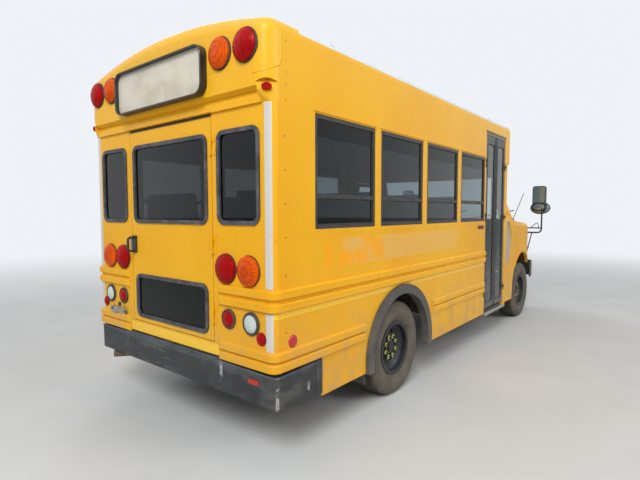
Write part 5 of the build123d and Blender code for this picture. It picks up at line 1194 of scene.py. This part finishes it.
def blow_up(obj):
    """Blows the pad up by cloth, with each point's way capped."""
    start = [v.co.copy() for v in obj.data.vertices]
    cloth = obj.modifiers.new("cloth", "CLOTH")
    cloth.settings.use_pressure = True
    cloth.settings.uniform_pressure_force = 4.0
    cloth.settings.quality = 4
    cloth.settings.effector_weights.gravity = 0.0
    cloth.point_cache.frame_start = 1
    cloth.point_cache.frame_end = PAD_FRAMES
    for frame_number in range(1, PAD_FRAMES + 1):
        scene.frame_set(frame_number)
    apply_modifiers(obj)
    scene.frame_set(1)
    for v, co in zip(obj.data.vertices, start):
        way = v.co - co
        if way.length > PAD_GROWTH:
            v.co = co + way * (PAD_GROWTH / way.length)


def grown(name, corners, width):
    """Upholstery: the pad remeshed evenly, blown up and smoothed."""
    obj = linked(name, pad_mesh(name, corners, width))
    remesh = obj.modifiers.new("remesh", "REMESH")
    remesh.mode = "VOXEL"
    remesh.voxel_size = 0.018
    apply_modifiers(obj)
    blow_up(obj)
    obj.modifiers.new("smooth", "SUBSURF").levels = 1
    apply_modifiers(obj)
    mesh = obj.data
    for face in mesh.polygons:
        face.use_smooth = True
    mesh.materials.clear()
    mesh.materials.append(vinyl)
    bpy.data.objects.remove(obj)
    return mesh


def place_pad(name, mesh, x, s):
    obj = linked(name, mesh)
    obj.location = at(x, s, FLOOR_Z)
    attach(obj, "root")
    return obj


def bench_frame(tag, sign, s):
    """Tube legs at the aisle, their floor plates, the wall rail and the frame under the cushion."""
    z = FLOOR_Z
    x = sign * 272
    wall = sign * 955
    lines = []
    for a, b in ((90, 108), (380, 398)):
        lines.append([at(x, s + a, z + 8), at(x, s + (a + b) / 2, z + 170), at(x, s + b, z + 326)])
    lines += [[at(u, s + 60, z + 326), at(u, s + 450, z + 332)] for u in (x, wall)]
    bars = [rod("bar", line, 13, soft_black) for line in lines]
    for a in (80, 430):
        bars.append(rod("bar", [at(x, s + a, z + 328), at(wall, s + a, z + 328)], 12, soft_black))
    bars.append(panel("bar", at(x, s + 250, z), UPWARD, 55, 380, 10, 8, soft_black))
    joined(f"bench_frame_{tag}", bars)


def make_seats():
    seat = grown("bench_cushion", [(170, 346), (448, 346), (448, 428), (170, 434)], BENCH_WIDTH)
    back_line = [(38, 330), (150, 330), (150, 440), (98, 990), (54, 990), (36, 440)]
    back = grown("bench_back", back_line, BENCH_WIDTH)
    driver_seat = grown("driver_cushion", [(110, 346), (466, 346), (466, 418), (110, 424)], DRIVER_WIDTH)
    driver_back = grown("driver_back", [(-20, 400), (100, 400), (30, 962), (-34, 962)], DRIVER_WIDTH)
    for i, s in enumerate(WINDOWS_S):
        for tag, sign in SIDES:
            place_pad(f"cushion_{tag}_{i}", seat, sign * BENCH_X, s - BENCH_BACK)
            place_pad(f"back_{tag}_{i}", back, sign * BENCH_X, s - BENCH_BACK)
            bench_frame(f"{tag}_{i}", sign, s - BENCH_BACK)
    place_pad("driver_cushion", driver_seat, 485, 3640)
    place_pad("driver_back", driver_back, 485, 3640)
    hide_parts("seats")
    box = [(-180, -160), (180, -160), (180, 160), (-180, 160)]
    slab("driver_seat_box", box, at(485, 3850, FLOOR_Z + 1), UPWARD, 325, soft_black, edge=10)


# Stage

BACKDROP = (0.86, 0.89, 0.93)
GROUND_SIZE = 90.0


def melt_into_backdrop(ground):
    """Far from the object the camera sees the backdrop's own colour on the floor, so no edge shows."""
    path = ground.node("ShaderNodeLightPath")
    far = ground.span(ground.distance(ground.x, ground.y), 4.5, 15.0)
    glow = ground.node("ShaderNodeEmission")
    glow.inputs["Color"].default_value = (*BACKDROP, 1)
    blend = ground.node("ShaderNodeMixShader")
    ground.feed(blend.inputs[0], ground.times(far, path.outputs["Is Camera Ray"]))
    ground.link(ground.shader.outputs[0], blend.inputs[1])
    ground.link(glow.outputs[0], blend.inputs[2])
    end = next(n for n in ground.tree.nodes if n.type == "OUTPUT_MATERIAL")
    ground.link(blend.outputs[0], end.inputs["Surface"])


def make_ground():
    look = Look("ground", (0.60, 0.60, 0.59), Roughness=0.9, Specular_IOR_Level=0.1)
    c = look.blend((0.62, 0.62, 0.61), (0.59, 0.59, 0.58), look.noise(1.5, 3.0), 0.3, 0.7)
    look.feed(look.shader.inputs["Base Color"], c)
    melt_into_backdrop(look)
    mesh = bpy.data.meshes.new("ground")
    corners = [(x * GROUND_SIZE, y * GROUND_SIZE, 0) for x, y in ((-1, -1), (1, -1), (1, 1), (-1, 1))]
    mesh.from_pydata(corners, [], [(0, 1, 2, 3)])
    mesh.materials.append(look.mat)
    obj = linked("ground", mesh)


def make_world():
    """An even sky, brighter to the eye, to reflections and through glass than as a light."""
    world = bpy.data.worlds.new("studio")
    scene.world = world
    world.use_nodes = True
    tree = world.node_tree
    back = tree.nodes["Background"]
    path = tree.nodes.new("ShaderNodeLightPath")
    total = path.outputs["Is Camera Ray"]
    for kind in ("Is Glossy Ray", "Is Transmission Ray"):
        seen = tree.nodes.new("ShaderNodeMath")
        seen.operation = "MAXIMUM"
        tree.links.new(total, seen.inputs[0])
        tree.links.new(path.outputs[kind], seen.inputs[1])
        total = seen.outputs[0]
    strength = tree.nodes.new("ShaderNodeMix")
    strength.inputs[2].default_value = 0.55
    strength.inputs[3].default_value = 1.0
    tree.links.new(total, strength.inputs[0])
    tree.links.new(strength.outputs[0], back.inputs["Strength"])
    back.inputs["Color"].default_value = (*BACKDROP, 1)


def make_light(name, place, target, size, power, color):
    light = bpy.data.lights.new(name, "AREA")
    light.shape = "DISK"
    light.size = size
    light.energy = power
    light.color = color
    obj = linked(name, light)
    obj.location = place
    obj.rotation_euler = (Vector(target) - Vector(place)).to_track_quat("-Z", "Y").to_euler()


def make_camera():
    """The viewpoint of the photo: heading, pitch, roll and lens."""
    pitch = radians(3.557)
    roll = radians(-0.12)
    ahead = Vector((0.6288, -0.7776, 0))
    right = Vector((ahead.y, -ahead.x, 0)).normalized()
    forward = (ahead * cos(pitch) - Vector((0, 0, sin(pitch)))).normalized()
    side = right * cos(roll) + right.cross(forward) * sin(roll)
    camera = bpy.data.cameras.new("camera")
    camera.lens = 25.40
    camera.sensor_width = 36.0
    camera.sensor_fit = "HORIZONTAL"
    camera.clip_end = 300
    obj = linked("camera", camera)
    turn = Matrix((side, side.cross(forward), -forward)).transposed().to_4x4()
    obj.matrix_world = Matrix.Translation((-2.767, REAR_Y + 1.763, 1.488)) @ turn
    scene.camera = obj


dress_nodes()
make_wheels()
make_seats()
trim_rear()
trim_lamps()
trim_rear_door()
trim_plate()
trim_cap()
trim_side()
trim_entrance()
trim_driver_door()
trim_bumpers()
trim_cab()
make_ground()
make_world()
make_camera()
make_light("key", (-4.5, 9.5, 8.0), (0, 0.5, 1.0), 5.0, 860, (0.97, 1.0, 1.0))
make_light("side", (-11.0, -1.0, 6.5), (0, -0.3, 1.0), 6.0, 420, (1.0, 0.97, 0.93))
make_light("far_side", (10.0, -5.0, 7.0), (0, 0, 1.0), 6.0, 450, (0.98, 0.99, 1.0))
scene.view_settings.view_transform = "Standard"
